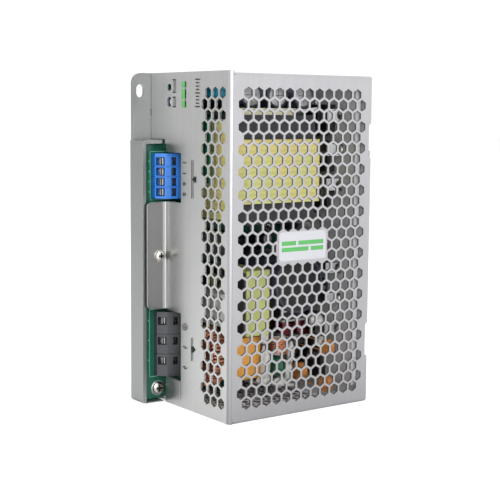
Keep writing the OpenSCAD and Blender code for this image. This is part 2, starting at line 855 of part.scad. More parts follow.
module status_led() {
    color("mediumseagreen") {
        rod_y(1.5, sight_x, -39.3, -36.6, led_z);
        translate([sight_x, -39.3, led_z]) sphere(r = 1.5);
        rod_y(1.9, sight_x, -36.6, -35.6, led_z);
        for (z = [led_z - 0.9, led_z + 0.9])
            block([board_top, -36.4, z - 0.25], [sight_x - 1, -35.9, z + 0.25]);
    }
}

// -------------------------------------------------------------- rail clip

module rail_adapter() {
    half = adapter_w / 2;
    color("lightgray") difference() {
        union() {
            block([-half, rear_wall_y, rail_lo - 16], [half, seat_y, rail_hi + 9]);
            block([-half, seat_y - 1, rail_hi + play], [half, hook_y, rail_hi + 9]);
            block([-half, seat_y + 1.8, rail_hi - 3.2], [half, hook_y, rail_hi + 1]);
        }
        block([-12, rear_wall_y - 1, rail_lo - 17], [12, rear_wall_y + 3.6, rail_z + 7]);
        block([-9.4, rear_wall_y, rail_lo - 6.6 - latch_travel], [9.4, seat_y + 1, rail_lo + 0.1]);
        for (x = adapter_screw_x, z = adapter_screw_z) rod_y(1.7, x, rear_wall_y - 1, hook_y + 1, z);
        for (x = adapter_screw_x, z = adapter_screw_z) rod_y(3.4, x, seat_y - 2.4, hook_y + 1, z);
    }
}

module rail_latch() {
    half = latch_w / 2;
    slide_y = rear_wall_y + play;
    color("black") difference() {
        union() {
            block([-half, slide_y, rail_lo - 16], [half, slide_y + 3, rail_lo + 5.5]);
            block([-8, slide_y, rail_lo - 30], [8, slide_y + 3, rail_lo - 15]);
            block([-9, slide_y + 2, rail_lo - 5.5], [9, seat_y + 2, rail_lo - play]);
            plate_x(-9, 18) polygon([
                [seat_y + 1.7, rail_lo - 5.5], [hook_y - 1.6, rail_lo - 5.5], [hook_y, rail_lo - 4],
                [seat_y + 3.2, rail_lo + 2.5], [seat_y + 1.7, rail_lo + 2.5],
            ]);
        }
        block([-4.5, slide_y - 1, rail_lo - 26.5], [4.5, slide_y + 4, rail_lo - 23]);
        rod_y(1, 0, slide_y - 1, slide_y + 4, rail_lo + 3.6);
    }
}

module latch_spring() {
    spring_y = rear_wall_y + 1.8;
    color("lightsteelblue") {
        for (i = [0:8]) translate([0, spring_y, rail_lo + 7.2 + i * 1.5])
            rotate_extrude() translate([1.1, 0]) circle(r = 0.35);
        rod_z(0.8, 0, spring_y, rail_lo + 5.7, rail_lo + 19.8);
    }
}

module adapter_screws() {
    color("lightgray") for (x = adapter_screw_x, z = adapter_screw_z) difference() {
        union() {
            rod_y(2.9, x, seat_y - 2.4, seat_y - 0.6, z);
            rod_y(1.2, x, rear_in_y, seat_y - 2, z);
        }
        translate([x, seat_y - 1.6, z]) rotate([-90, 0, 0]) cylinder(r = 1.4, h = 3, $fn = 6);
    }
}

chassis();
cover();
badge_plate();
insulation_sheet();
main_board();
board_standoffs();
board_screws();
flap_pillar();
flap_screw();
flap_washer();
output_terminal_housing();
output_contact_bars();
clamp(output_front, output_pole_z(0));  // output_clamp_1
clamp(output_front, output_pole_z(1));  // output_clamp_2
clamp(output_front, output_pole_z(2));  // output_clamp_3
clamp(output_front, output_pole_z(3));  // output_clamp_4
input_terminal_housing();
input_contact_bars();
clamp(input_front, input_pole_z(0));  // input_clamp_1
clamp(input_front, input_pole_z(1));  // input_clamp_2
clamp(input_front, input_pole_z(2));  // input_clamp_3
transformer_core();
transformer_bobbin();
transformer_winding();
transformer_tape();
transformer_pad();
auxiliary_core();
auxiliary_winding();
upper_heat_sink();
lower_heat_sink();
rectifiers();
power_transistors();
bridge_rectifier();
device_screws();
output_capacitors();
filter_capacitor();
bulk_capacitor();
line_capacitor();
capacitor_carrier();
interference_capacitor();
toroid_core();
toroid_winding();
toroid_base();
filter_choke_core();
filter_choke_bobbin();
filter_choke_winding();
rod_choke();
inrush_relay();
fuse();
surge_varistor();
inrush_thermistor();
suppression_capacitors();
control_board();
trimmer_body();
trimmer_rotor();
status_led();
rail_adapter();
rail_latch();
latch_spring();
adapter_screws();
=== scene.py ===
import math

import bmesh
import bpy
from mathutils import Matrix, Vector, noise


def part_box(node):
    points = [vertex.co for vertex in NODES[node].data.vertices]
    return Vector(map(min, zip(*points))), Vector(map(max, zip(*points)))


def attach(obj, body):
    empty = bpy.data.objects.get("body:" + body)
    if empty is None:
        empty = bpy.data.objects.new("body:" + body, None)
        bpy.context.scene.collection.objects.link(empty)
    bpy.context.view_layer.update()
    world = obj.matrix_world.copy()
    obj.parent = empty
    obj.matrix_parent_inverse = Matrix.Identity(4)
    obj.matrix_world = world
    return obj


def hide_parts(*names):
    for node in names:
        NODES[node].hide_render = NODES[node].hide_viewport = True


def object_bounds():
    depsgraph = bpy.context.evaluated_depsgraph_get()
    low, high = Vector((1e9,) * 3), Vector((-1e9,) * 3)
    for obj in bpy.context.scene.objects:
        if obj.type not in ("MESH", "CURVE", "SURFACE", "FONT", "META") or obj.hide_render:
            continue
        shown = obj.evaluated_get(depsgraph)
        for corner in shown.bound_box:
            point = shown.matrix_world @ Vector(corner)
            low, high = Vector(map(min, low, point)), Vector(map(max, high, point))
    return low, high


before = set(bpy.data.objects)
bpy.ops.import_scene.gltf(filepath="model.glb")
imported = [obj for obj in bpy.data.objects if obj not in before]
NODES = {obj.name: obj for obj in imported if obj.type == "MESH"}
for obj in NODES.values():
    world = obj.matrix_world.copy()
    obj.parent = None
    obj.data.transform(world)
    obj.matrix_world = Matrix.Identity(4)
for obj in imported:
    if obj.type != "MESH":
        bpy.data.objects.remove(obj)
CAD_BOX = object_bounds()
MM = 0.001


def box_mm(node):
    """Lowest and highest corner of a CAD node, in millimetres."""
    low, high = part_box(node)
    return [c / MM for c in low], [c / MM for c in high]


# ------------------------------------------------------------- camera, light

CAMERA_MM = (478.09, -353.19, 145.76)
YAW, PITCH, ROLL = math.radians(53.90), math.radians(-6.65), math.radians(0.467)
LENS_MM, SENSOR_MM = 85.306, 36.0


def add_camera():
    level = math.cos(PITCH)
    forward = Vector((-math.sin(YAW) * level, math.cos(YAW) * level, math.sin(PITCH)))
    right = forward.cross(Vector((0, 0, 1))).normalized()
    up = right.cross(forward).normalized()
    right, up = (math.cos(ROLL) * right + math.sin(ROLL) * up,
                 math.cos(ROLL) * up - math.sin(ROLL) * right)
    data = bpy.data.cameras.new("camera")
    data.lens, data.sensor_width, data.clip_start = LENS_MM, SENSOR_MM, 0.01
    camera = bpy.data.objects.new("camera", data)
    turn = Matrix((right, up, -forward)).transposed()
    camera.matrix_world = Matrix.Translation(Vector(CAMERA_MM) * MM) @ turn.to_4x4()
    bpy.context.collection.objects.link(camera)
    bpy.context.scene.camera = camera


def add_area(name, place, target, size, watts):
    data = bpy.data.lights.new(name, "AREA")
    data.shape, data.size, data.energy = "DISK", size, watts
    light = bpy.data.objects.new(name, data)
    light.location = place
    light.rotation_euler = (Vector(target) - Vector(place)).to_track_quat("-Z", "Y").to_euler()
    bpy.context.collection.objects.link(light)


def add_world():
    world = bpy.data.worlds.new("studio")
    bpy.context.scene.world = world
    world.use_nodes = True
    back = world.node_tree.nodes["Background"]
    back.inputs["Color"].default_value = (1.0, 1.0, 1.0, 1)
    back.inputs["Strength"].default_value = 1.08
    bpy.context.scene.view_settings.view_transform = "Standard"


add_camera()
add_world()
add_area("key", (1.05, -0.75, 0.62), (0, 0, 0.06), 1.6, 24)
add_area("top_light", (0.2, -0.1, 1.3), (0, 0, 0.08), 0.8, 7)


# ------------------------------------------------------------ material graph

def srgb(red, green, blue):
    """A colour given as 0 to 255 in the display's scale, as linear numbers."""
    def linear(c):
        c /= 255
        return c / 12.92 if c <= 0.04045 else ((c + 0.055) / 1.055) ** 2.4
    return (linear(red), linear(green), linear(blue), 1)


# Noise keeps to this range nearly everywhere, so it is stretched from there
NOISE_LOW, NOISE_HIGH = 0.3, 0.7
PURE_BLACK = (0, 0, 0, 1)


class Graph:
    """A node material under construction. Its coordinates are the frame's, in millimetres."""

    def __init__(self, name):
        self.material = bpy.data.materials.new(name)
        self.material.use_nodes = True
        self.tree = self.material.node_tree
        self.shader = self.tree.nodes["Principled BSDF"]
        coords = self.tree.nodes.new("ShaderNodeTexCoord")
        self.base = self.math_vector("SCALE", coords.outputs["Object"], 1 / MM)

    def node(self, kind, **settings):
        made = self.tree.nodes.new(kind)
        for key, value in settings.items():
            setattr(made, key, value)
        return made

    def link(self, source, socket):
        if hasattr(source, "is_output"):
            self.tree.links.new(source, socket)
        else:
            socket.default_value = source

    def math_vector(self, operation, vector, scale):
        made = self.node("ShaderNodeVectorMath", operation=operation)
        self.link(vector, made.inputs[0])
        if operation == "SCALE":
            made.inputs["Scale"].default_value = scale
        else:
            made.inputs[1].default_value = scale
        return made.outputs["Vector"]

    def coords(self, stretch=(1, 1, 1)):
        return self.math_vector("MULTIPLY", self.base, stretch)

    def noise(self, size, stretch=(1, 1, 1), detail=3.0, rough=0.5):
        """Noise whose blotches are about size millimetres across."""
        made = self.node("ShaderNodeTexNoise")
        self.link(self.coords(stretch), made.inputs["Vector"])
        made.inputs["Scale"].default_value = 1 / size
        made.inputs["Detail"].default_value = detail
        made.inputs["Roughness"].default_value = rough
        return made.outputs["Fac"]

    def cells(self, size):
        made = self.node("ShaderNodeTexVoronoi", feature="F1")
        self.link(self.base, made.inputs["Vector"])
        made.inputs["Scale"].default_value = 1 / size
        return made.outputs["Distance"]

    def parts(self, vector):
        made = self.node("ShaderNodeSeparateXYZ")
        self.link(vector, made.inputs[0])
        return made.outputs["X"], made.outputs["Y"], made.outputs["Z"]

    def place(self):
        """Where a point is, as x, y and z in millimetres."""
        return self.parts(self.base)

    def facing(self):
        """Which way the surface faces, as x, y and z."""
        return self.parts(self.node("ShaderNodeNewGeometry").outputs["Normal"])

    def within(self, value, low, high):
        """1 where the value lies between the limits, else 0."""
        above = self.math("GREATER_THAN", value, low)
        return self.math("MULTIPLY", above, self.math("LESS_THAN", value, high))

    def every(self, *masks):
        product = masks[0]
        for mask in masks[1:]:
            product = self.math("MULTIPLY", product, mask)
        return product

    def bands(self, size, axis, distortion):
        """Even bands, each about size millimetres wide."""
        made = self.node("ShaderNodeTexWave", wave_type="BANDS", bands_direction=axis)
        self.link(self.base, made.inputs["Vector"])
        made.inputs["Scale"].default_value = math.tau / 20 / size
        made.inputs["Distortion"].default_value = distortion
        return made.outputs["Fac"]

    def math(self, operation, a, b):
        made = self.node("ShaderNodeMath", operation=operation)
        self.link(a, made.inputs[0])
        self.link(b, made.inputs[1])
        return made.outputs[0]

    def remap(self, value, low, high, new_low, new_high):
        made = self.node("ShaderNodeMapRange")
        self.link(value, made.inputs["Value"])
        limits = {"From Min": low, "From Max": high, "To Min": new_low, "To Max": new_high}
        for key, number in limits.items():
            made.inputs[key].default_value = number
        return made.outputs["Result"]

    def spread(self, value, low, high):
        """A noise value, stretched to run from low to high."""
        return self.remap(value, NOISE_LOW, NOISE_HIGH, low, high)

    def darker(self, factor, shade):
        return self.mix(factor, shade, PURE_BLACK)

    def mix(self, factor, a, b):
        made = self.node("ShaderNodeMix", data_type="RGBA", blend_type="MIX")
        self.link(factor, made.inputs["Factor"])
        self.link(a, made.inputs["A"])
        self.link(b, made.inputs["B"])
        return made.outputs["Result"]

    def shades(self, factor, colour, dark, light):
        """The colour from dark times itself to light times itself, along the factor."""
        low = tuple(min(1, c * dark) for c in colour[:3]) + (1,)
        high = tuple(min(1, c * light) for c in colour[:3]) + (1,)
        return self.mix(self.spread(factor, 0, 1), low, high)

    def soft_edge(self, radius):
        made = self.node("ShaderNodeBevel", samples=4)
        made.inputs["Radius"].default_value = radius * MM
        return made.outputs["Normal"]

    def bump(self, height, depth, normal=None):
        made = self.node("ShaderNodeBump")
        made.inputs["Strength"].default_value = 1.0
        made.inputs["Distance"].default_value = depth * MM
        self.link(height, made.inputs["Height"])
        if normal is not None:
            self.link(normal, made.inputs["Normal"])
        return made.outputs["Normal"]

    def finish(self, colour, rough, metallic=0.0, normal=None, **sockets):
        self.link(colour, self.shader.inputs["Base Color"])
        self.link(rough, self.shader.inputs["Roughness"])
        self.shader.inputs["Metallic"].default_value = metallic
        if normal is not None:
            self.link(normal, self.shader.inputs["Normal"])
        for key, value in sockets.items():
            self.shader.inputs[key.replace("_", " ")].default_value = value
        return self.material


def rolled(g, colour, along, rough, streaks):
    """Tone, gloss and grain height of rolled sheet: fine streaks along one axis, faint blotches."""
    fine = g.noise(0.35, along, 4)
    broad = g.noise(3.0, along, 3)
    cloud = g.noise(26.0, (1, 1, 1), 2)
    tone = g.math("ADD", g.math("MULTIPLY", fine, 0.35), g.math("MULTIPLY", broad, 0.35))
    tone = g.math("ADD", tone, g.math("MULTIPLY", cloud, 0.30))
    gloss = g.spread(tone, rough - 0.05, rough + 0.06)
    return g.shades(tone, colour, 1 - streaks, 1 + streaks), gloss, fine


# How much painted shade darkens each bend and the inner wall's corner of the sheets, and how far each
# mask reaches
FLAP_BEND_PAINTED_SHADE, CORNER_PAINTED_SHADE, INNER_CORNER_PAINTED_SHADE = 0.5, 0.22, 0.5
INNER_WALL_DEPTHS = (5, 3)
INNER_CORNER_DEPTHS = (10, 1)
FRONT_REACH, FLAP_REACH = 3, 1.5
FLOOR_TOP_Z, HOLE_ROWS_MARGIN = 1.2, 1.7


def shaded_by_height(g, shade, bottom_brightness, top_brightness):
    """Painted shade: the sheet's colour is darkened by an amount that changes from its bottom to its
    top.
    """
    _, _, z = g.place()
    tone = g.remap(z, 0, COVER_TOP_Z, bottom_brightness, top_brightness)
    return g.darker(g.math("SUBTRACT", 1, tone), shade)


def chassis_sheet(name, colour, painted_light_wall_colour):
    """The plain sheet, rolled along its height, with softened edges and a dull inner rear wall painted
    pale as light, darkened towards the side as painted shade.
    """
    g = Graph(name)
    shade, gloss, fine = rolled(g, colour, (1, 1, 0.03), 0.36, 0.06)
    shade = shaded_by_height(g, shade, 0.94, 0.94)
    x, y, _ = g.place()
    _, ny, _ = g.facing()
    deep, shallow = INNER_WALL_DEPTHS
    inner_wall = g.every(g.within(y, COVER_REAR_Y - deep, COVER_REAR_Y - shallow),
                         g.math("LESS_THAN", ny, -0.5))
    # Painted light: the inner rear wall takes a paler, dull colour so that it looks lit.
    shade = g.mix(inner_wall, shade, painted_light_wall_colour)
    # Painted shade: the inner rear wall darkens towards the side.
    deep, shallow = INNER_CORNER_DEPTHS
    corner = g.remap(x, COVER_SIDE_X - deep, COVER_SIDE_X - shallow, 0, INNER_CORNER_PAINTED_SHADE)
    shade = g.darker(g.math("MULTIPLY", inner_wall, corner), shade)
    material = g.finish(shade, gloss, 1.0, g.bump(fine, 0.01, g.soft_edge(0.2)))
    g.link(g.math("SUBTRACT", 1.0, inner_wall), g.shader.inputs["Metallic"])
    return material


def cover_sheet(name, colour, shaded_front_colour, painted_shade_wall_colour, painted_light_floor_colour):
    """The perforated sheet: a greyer front as painted shade, dull punched hole walls painted dark as
    shade, and a dull inner floor painted pale as light through the holes.
    """
    g = Graph(name)
    x, y, z = g.place()
    nx, ny, nz = g.facing()
    shade, gloss, fine = rolled(g, colour, (1, 1, 0.03), 0.34, 0.05)
    # Painted shade: the front face takes a second, darker colour of the same sheet, and each face is
    # painted darker towards one end by height, the side towards its bottom and the front towards its
    # top.
    front_shade, _, _ = rolled(g, shaded_front_colour, (1, 1, 0.03), 0.34, 0.07)
    front = g.every(g.math("LESS_THAN", x, COVER_BEND_X),
                    g.math("LESS_THAN", y, COVER_FRONT_Y + FRONT_REACH))
    shade = g.mix(front, shaded_by_height(g, shade, 0.52, 1), shaded_by_height(g, front_shade, 0.88, 0.84))
    # Painted shade on the flap's bend and on the corner bend, which dims their highlights.
    flap_bend = g.every(g.math("LESS_THAN", y, COVER_FRONT_Y - FLAP_REACH),
                        g.math("GREATER_THAN", nx, 0.1))
    corner = g.every(g.math("GREATER_THAN", nx, 0.12), g.math("LESS_THAN", ny, -0.12))
    shade = g.darker(g.math("MULTIPLY", flap_bend, FLAP_BEND_PAINTED_SHADE), shade)
    shade = g.darker(g.math("MULTIPLY", corner, CORNER_PAINTED_SHADE), shade)
    # Painted shade: the walls of the side's holes are painted dark and half dull.
    in_side = g.every(g.math("GREATER_THAN", x, COVER_SIDE_X - SHEET_T - 0.05),
                      g.within(y, COVER_FRONT_Y + 2.2, COVER_REAR_Y - 0.3))
    rows = g.within(z, HOLE_ROWS_MARGIN, COVER_TOP_Z - HOLE_ROWS_MARGIN)
    wall = g.every(in_side, g.within(nx, -0.5, 0.5), rows)
    shade = g.mix(wall, shade, painted_shade_wall_colour)
    # Painted light: the inner floor is painted pale and dull, as if lit through the holes.
    floor = g.every(g.math("GREATER_THAN", nz, 0.5), g.math("LESS_THAN", z, FLOOR_TOP_Z))
    shade = g.mix(floor, shade, painted_light_floor_colour)
    metallic = g.math("SUBTRACT", 1.0, g.math("MAXIMUM", g.math("MULTIPLY", wall, 0.5), floor))
    material = g.finish(shade, gloss, 1.0, g.bump(fine, 0.01, g.soft_edge(0.08)))
    g.link(metallic, g.shader.inputs["Metallic"])
    return material


def bright_metal(name, colour, rough=0.25, edge=0.12, scale=0.5):
    """Plated or machined metal: fine scratches and small stains."""
    g = Graph(name)
    scratch = g.noise(scale, (1, 0.25, 1), 5, 0.6)
    stain = g.noise(2.4, (1, 1, 1), 3)
    tone = g.math("ADD", g.math("MULTIPLY", scratch, 0.5), g.math("MULTIPLY", stain, 0.5))
    shade = g.shades(tone, colour, 0.82, 1.1)
    gloss = g.spread(scratch, rough - 0.06, rough + 0.12)
    return g.finish(shade, gloss, 1.0, g.bump(scratch, 0.008, g.soft_edge(edge)))


def moulded(name, colour, rough=0.45, edge=0.15, grain=0.25, depth=0.008):
    """Moulded plastic: a fine spark-eroded grain, faint flow marks, softened edges."""
    g = Graph(name)
    pits = g.noise(grain, (1, 1, 1), 2)
    flow = g.noise(7.0, (1, 1, 0.5), 3)
    tone = g.math("ADD", g.math("MULTIPLY", pits, 0.3), g.math("MULTIPLY", flow, 0.7))
    shade = g.shades(tone, colour, 0.92, 1.08)
    gloss = g.spread(flow, rough - 0.06, rough + 0.08)
    return g.finish(shade, gloss, 0.0, g.bump(pits, depth, g.soft_edge(edge)))


def sintered(name, colour):
    """Ferrite: dull, speckled, a little ground on its faces."""
    g = Graph(name)
    speck = g.cells(0.5)
    cloud = g.noise(5.0, (1, 1, 1), 4)
    tone = g.math("ADD", g.math("MULTIPLY", speck, 0.6), g.math("MULTIPLY", cloud, 0.6))
    shade = g.shades(tone, colour, 0.75, 1.45)
    gloss = g.spread(cloud, 0.42, 0.62)
    return g.finish(shade, gloss, 0.25, g.bump(speck, 0.03, g.soft_edge(0.3)))


def dipped(name, colour, rough=0.35, high_colour=None, high_z=0.0):
    """An epoxy dip: glossy and a little lumpy. Parts above high_z may have a colour of their own."""
    g = Graph(name)
    lump = g.noise(2.2, (1, 1, 1), 2)
    fine = g.noise(0.4, (1, 1, 1), 2)
    shade = g.shades(lump, colour, 0.88, 1.12)
    if high_colour:
        _, _, z = g.place()
        high_shade = g.shades(lump, high_colour, 0.88, 1.12)
        shade = g.mix(g.math("GREATER_THAN", z, high_z), shade, high_shade)
    height = g.math("ADD", lump, g.math("MULTIPLY", fine, 0.08))
    gloss = g.spread(fine, rough - 0.05, rough + 0.1)
    return g.finish(shade, gloss, 0.0, g.bump(height, 0.16), Coat_Weight=0.3)


def sleeve(name, colour):
    """Shrunk film: glossy, with shallow shrink ripples."""
    g = Graph(name)
    ripple = g.noise(5.0, (0.35, 1, 1), 2)
    shade = g.shades(ripple, colour, 0.8, 1.2)
    return g.finish(shade, g.spread(ripple, 0.22, 0.34), 0.0, g.bump(ripple, 0.05))


def tape_wrap(name, colour, warm_colour):
    """Polyester tape: layers whose edges show as fine lines, with creases and warmer stretches."""
    g = Graph(name)
    crease = g.noise(6.0, (1, 1, 0.4), 4, 0.6)
    layer = g.bands(2.6, "Z", 1.5)
    tone = g.math("ADD", g.math("MULTIPLY", crease, 0.7), g.math("MULTIPLY", layer, 0.3))
    drift = g.remap(g.noise(24.0, (1, 1, 1), 1), 0.42, 0.62, 0, 0.42)
    shade = g.mix(drift, g.shades(tone, colour, 0.90, 1.08), g.shades(tone, warm_colour, 0.90, 1.08))
    height = g.math("ADD", crease, g.math("MULTIPLY", layer, 0.15))
    return g.finish(shade, g.spread(crease, 0.28, 0.42), 0.0, g.bump(height, 0.12))


def wire_enamel(name, colour):
    """Enamelled copper: a dark lacquer over bright metal."""
    g = Graph(name)
    tint = g.noise(1.4, (1, 1, 1), 3)
    shade = g.shades(tint, colour, 0.72, 1.2)
    gloss = g.spread(tint, 0.22, 0.4)
    return g.finish(shade, gloss, 0.85, g.bump(tint, 0.02), Coat_Weight=0.4)


def laminate(name, colour):
    """Circuit board: green mask over copper that shows as slightly paler tracks and pours."""
    g = Graph(name)
    brick = g.node("ShaderNodeTexBrick")
    turned = g.node("ShaderNodeVectorRotate", rotation_type="Y_AXIS")
    turned.inputs["Angle"].default_value = math.radians(90)
    g.link(g.base, turned.inputs["Vector"])
    g.link(turned.outputs["Vector"], brick.inputs["Vector"])
    brick.inputs["Scale"].default_value = 0.12
    brick.inputs["Mortar Size"].default_value = 0.05
    brick.inputs["Mortar Smooth"].default_value = 0.05
    brick.inputs["Color1"].default_value = (1, 1, 1, 1)
    brick.inputs["Color2"].default_value = (0.8, 0.8, 0.8, 1)
    brick.inputs["Mortar"].default_value = (0, 0, 0, 1)
    fibre = g.noise(0.5, (1, 1, 1), 2)
    cloud = g.noise(9.0, (1, 1, 1), 3)
    pour = g.math("ADD", g.math("MULTIPLY", cloud, 0.5), 0.28)
    tone = g.math("ADD", g.math("MULTIPLY", brick.outputs["Fac"], -0.12), pour)
    shade = g.shades(tone, colour, 0.75, 1.25)
    height = g.math("MULTIPLY", brick.outputs["Fac"], -1.0)
    height = g.math("ADD", height, g.math("MULTIPLY", fibre, 0.15))
    gloss = g.spread(fibre, 0.3, 0.42)
    return g.finish(shade, gloss, 0.0, g.bump(height, 0.03), Coat_Weight=0.25)


def extruded(name, colour):
    """Drawn aluminium: close lines along its length, anodised dull."""
    g = Graph(name)
    line = g.noise(0.3, (1, 1, 0.02), 3)
    cloud = g.noise(8.0, (1, 1, 1), 3)
    tone = g.math("ADD", g.math("MULTIPLY", line, 0.5), g.math("MULTIPLY", cloud, 0.5))
    gloss = g.spread(cloud, 0.45, 0.6)
    return g.finish(g.shades(tone, colour, 0.9, 1.1), gloss, 0.35, g.bump(line, 0.02, g.soft_edge(0.2)))


def film(name, colour, rough=0.5):
    """Thin printed film or plate."""
    g = Graph(name)
    fibre = g.noise(0.6, (1, 1, 1), 3)
    gloss = g.spread(fibre, rough - 0.05, rough + 0.05)
    return g.finish(g.shades(fibre, colour, 0.96, 1.04), gloss, 0.0, g.bump(fibre, 0.004))


def tinted_glass(name, colour, rough=0.08, clear=0.85):
    """Glass or clear plastic: slightly wavy, and more or less see-through."""
    g = Graph(name)
    swirl = g.noise(1.8, (1, 1, 1), 2)
    gloss = g.spread(swirl, rough, rough + 0.08)
    return g.finish(g.shades(swirl, colour, 0.92, 1.05), gloss, 0.0, g.bump(swirl, 0.01),
                    Transmission_Weight=clear, IOR=1.5)


# The cover's faces. Its front sheet stands a little above its side.
SHEET_T = 1.0
FRONT_RISE = 0.9
COVER_SIDE_X, COVER_REAR_Y, COVER_FRONT_TOP = box_mm("cover")[1]
COVER_BEND_X = COVER_SIDE_X - 2
COVER_FRONT_Y = box_mm("flap_pillar")[1][1] + 0.9
COVER_TOP_Z = COVER_FRONT_TOP - FRONT_RISE

# The cover's second colour is its front in painted shade, its third is painted shade in the hole walls,
# and its fourth is painted light on the inner floor.
ALU_COVER = cover_sheet("cover_aluminium", (0.52, 0.515, 0.535, 1), (0.47, 0.475, 0.47, 1),
                        (0.10, 0.10, 0.105, 1), (0.85, 0.85, 0.86, 1))
# The chassis's second colour is painted light on its inner rear wall.
ALU_BASE = chassis_sheet("chassis_aluminium", (0.26, 0.265, 0.265, 1), (0.55, 0.56, 0.56, 1))
NICKEL = bright_metal("nickel_plate", (0.46, 0.45, 0.42, 1))
STEEL = bright_metal("spring_steel", (0.24, 0.245, 0.25, 1), 0.3)
TIN = bright_metal("tinned_metal", (0.62, 0.62, 0.61, 1), 0.3)
BRASS = bright_metal("turned_brass", (0.72, 0.56, 0.26, 1), 0.3)
CAST = bright_metal("clip_metal", (0.42, 0.43, 0.44, 1), 0.42, 0.3, 1.2)
CAN = bright_metal("can_aluminium", (0.62, 0.62, 0.63, 1), 0.4, 0.1, 0.8)
SINK = extruded("sink_aluminium", (0.42, 0.43, 0.43, 1))
BLUE = moulded("terminal_blue", srgb(20, 94, 172), 0.42)
GREY = moulded("terminal_grey", srgb(46, 48, 52), 0.5)
BLACK = moulded("black_plastic", srgb(16, 16, 18), 0.5)
WHITE = moulded("white_plastic", srgb(168, 168, 164), 0.45)
CREAM = moulded("cream_plastic", srgb(196, 190, 170), 0.5)
PAD = moulded("soft_pad", srgb(180, 176, 150), 0.7, 0.3, 0.6, 0.03)
EPOXY = moulded("device_epoxy", srgb(17, 17, 19), 0.42, 0.12, 0.3, 0.012)
SILICONE = dipped("white_silicone", srgb(186, 186, 182), 0.4)
FERRITE = sintered("ferrite", srgb(44, 45, 49))
TOROID_COAT = dipped("toroid_coat", srgb(96, 30, 48))
TAPE = tape_wrap("yellow_tape", srgb(190, 190, 124), srgb(214, 182, 108))
AMBER_TAPE = tape_wrap("amber_tape", srgb(190, 130, 56), srgb(206, 150, 76))
COPPER = wire_enamel("copper_wire", srgb(204, 132, 98))
RED_WIRE = wire_enamel("red_wire", srgb(110, 30, 44))
BOARD = laminate("board_green", srgb(0, 76, 60))
SLEEVE_BLACK = sleeve("sleeve_black", srgb(52, 54, 68))
SLEEVE_BLUE = sleeve("sleeve_blue", srgb(20, 138, 176))
BOX_YELLOW = moulded("film_capacitor_yellow", srgb(172, 176, 110), 0.42, 0.5)
BOX_AMBER = moulded("film_capacitor_amber", srgb(212, 150, 62), 0.36, 0.5)
DARK_DISC_Z = 82
DISC_ORANGE = dipped("disc_orange", srgb(186, 122, 62), 0.35, srgb(26, 26, 30), DARK_DISC_Z)
DISC_BLUE = dipped("disc_blue", srgb(20, 40, 66))
DISC_GREEN = dipped("disc_green", srgb(24, 96, 70))
TRIMMER = moulded("trimmer_blue", srgb(14, 84, 140), 0.35)
LED_GREEN = tinted_glass("led_green", srgb(30, 150, 112), 0.08, 0.15)
FUSE_GLASS = tinted_glass("fuse_glass", srgb(235, 238, 236), 0.03)
BADGE = film("badge_film", srgb(158, 159, 163), 0.45)
INK_GREEN = film("green_ink", srgb(66, 138, 70), 0.5)
# Dark ink for the front's prints, also used as painted shade in the screws' cross recesses.
INK_AND_RECESS_SHADE = film("dark_ink_and_recess_shade", srgb(10, 10, 12), 0.85)
SILKSCREEN = film("silkscreen", srgb(120, 176, 150), 0.6)
INSULATION = film("insulation_film", srgb(30, 30, 32), 0.45)
SOLDER = bright_metal("solder", (0.55, 0.55, 0.55, 1), 0.35, 0.05, 0.3)
RESISTOR = dipped("resistor_body", srgb(150, 140, 108), 0.4)
WIRE_BLACK = moulded("wire_black", srgb(18, 18, 20), 0.5, 0.05)
WIRE_WHITE = moulded("wire_white", srgb(190, 190, 184), 0.5, 0.05)

NODE_MATERIALS = {
    ALU_BASE: ["chassis"],
    ALU_COVER: ["cover"],
    BADGE: ["badge_plate"],
    INSULATION: ["insulation_sheet"],
    BOARD: ["main_board", "control_board"],
    NICKEL: ["board_standoffs", "board_screws", "flap_screw", "flap_washer", "device_screws",
             "adapter_screws"],
    BRASS: ["flap_pillar"],
    BLUE: ["output_terminal_housing"],
    GREY: ["input_terminal_housing"],
    TIN: ["output_contact_bars", "input_contact_bars"],
    STEEL: [n for n in NODES if "_clamp_" in n] + ["latch_spring"],
    FERRITE: ["transformer_core", "auxiliary_core", "filter_choke_core"],
    CREAM: ["transformer_bobbin"],
    COPPER: ["transformer_winding", "toroid_winding", "rod_choke"],
    TAPE: ["transformer_tape", "auxiliary_winding"],
    PAD: ["transformer_pad"],
    SINK: ["upper_heat_sink", "lower_heat_sink"],
    EPOXY: ["rectifiers", "power_transistors", "bridge_rectifier"],
    SLEEVE_BLACK: ["output_capacitors", "bulk_capacitor"],
    SLEEVE_BLUE: ["filter_capacitor"],
    BOX_YELLOW: ["line_capacitor"],
    BOX_AMBER: ["interference_capacitor"],
    BLACK: ["capacitor_carrier", "toroid_base", "rail_latch"],
    TOROID_COAT: ["toroid_core"],
    WHITE: ["filter_choke_bobbin", "inrush_relay", "trimmer_rotor"],
    RED_WIRE: ["filter_choke_winding"],
    FUSE_GLASS: ["fuse"],
    DISC_BLUE: ["surge_varistor"],
    DISC_GREEN: ["inrush_thermistor"],
    DISC_ORANGE: ["suppression_capacitors"],
    TRIMMER: ["trimmer_body"],
    LED_GREEN: ["status_led"],
    CAST: ["rail_adapter"],
}
for material, names in NODE_MATERIALS.items():
    for name in names:
        mesh = NODES[name].data
        mesh.materials.clear()
        mesh.materials.append(material)


# ------------------------------------------------------- pieces made here

AXES = {
    "X": (Vector((0, 1, 0)), Vector((0, 0, 1)), Vector((1, 0, 0))),
    "Y": (Vector((0, 0, 1)), Vector((1, 0, 0)), Vector((0, 1, 0))),
    "Z": (Vector((1, 0, 0)), Vector((0, 1, 0)), Vector((0, 0, 1))),
}
SHARP = math.radians(35)


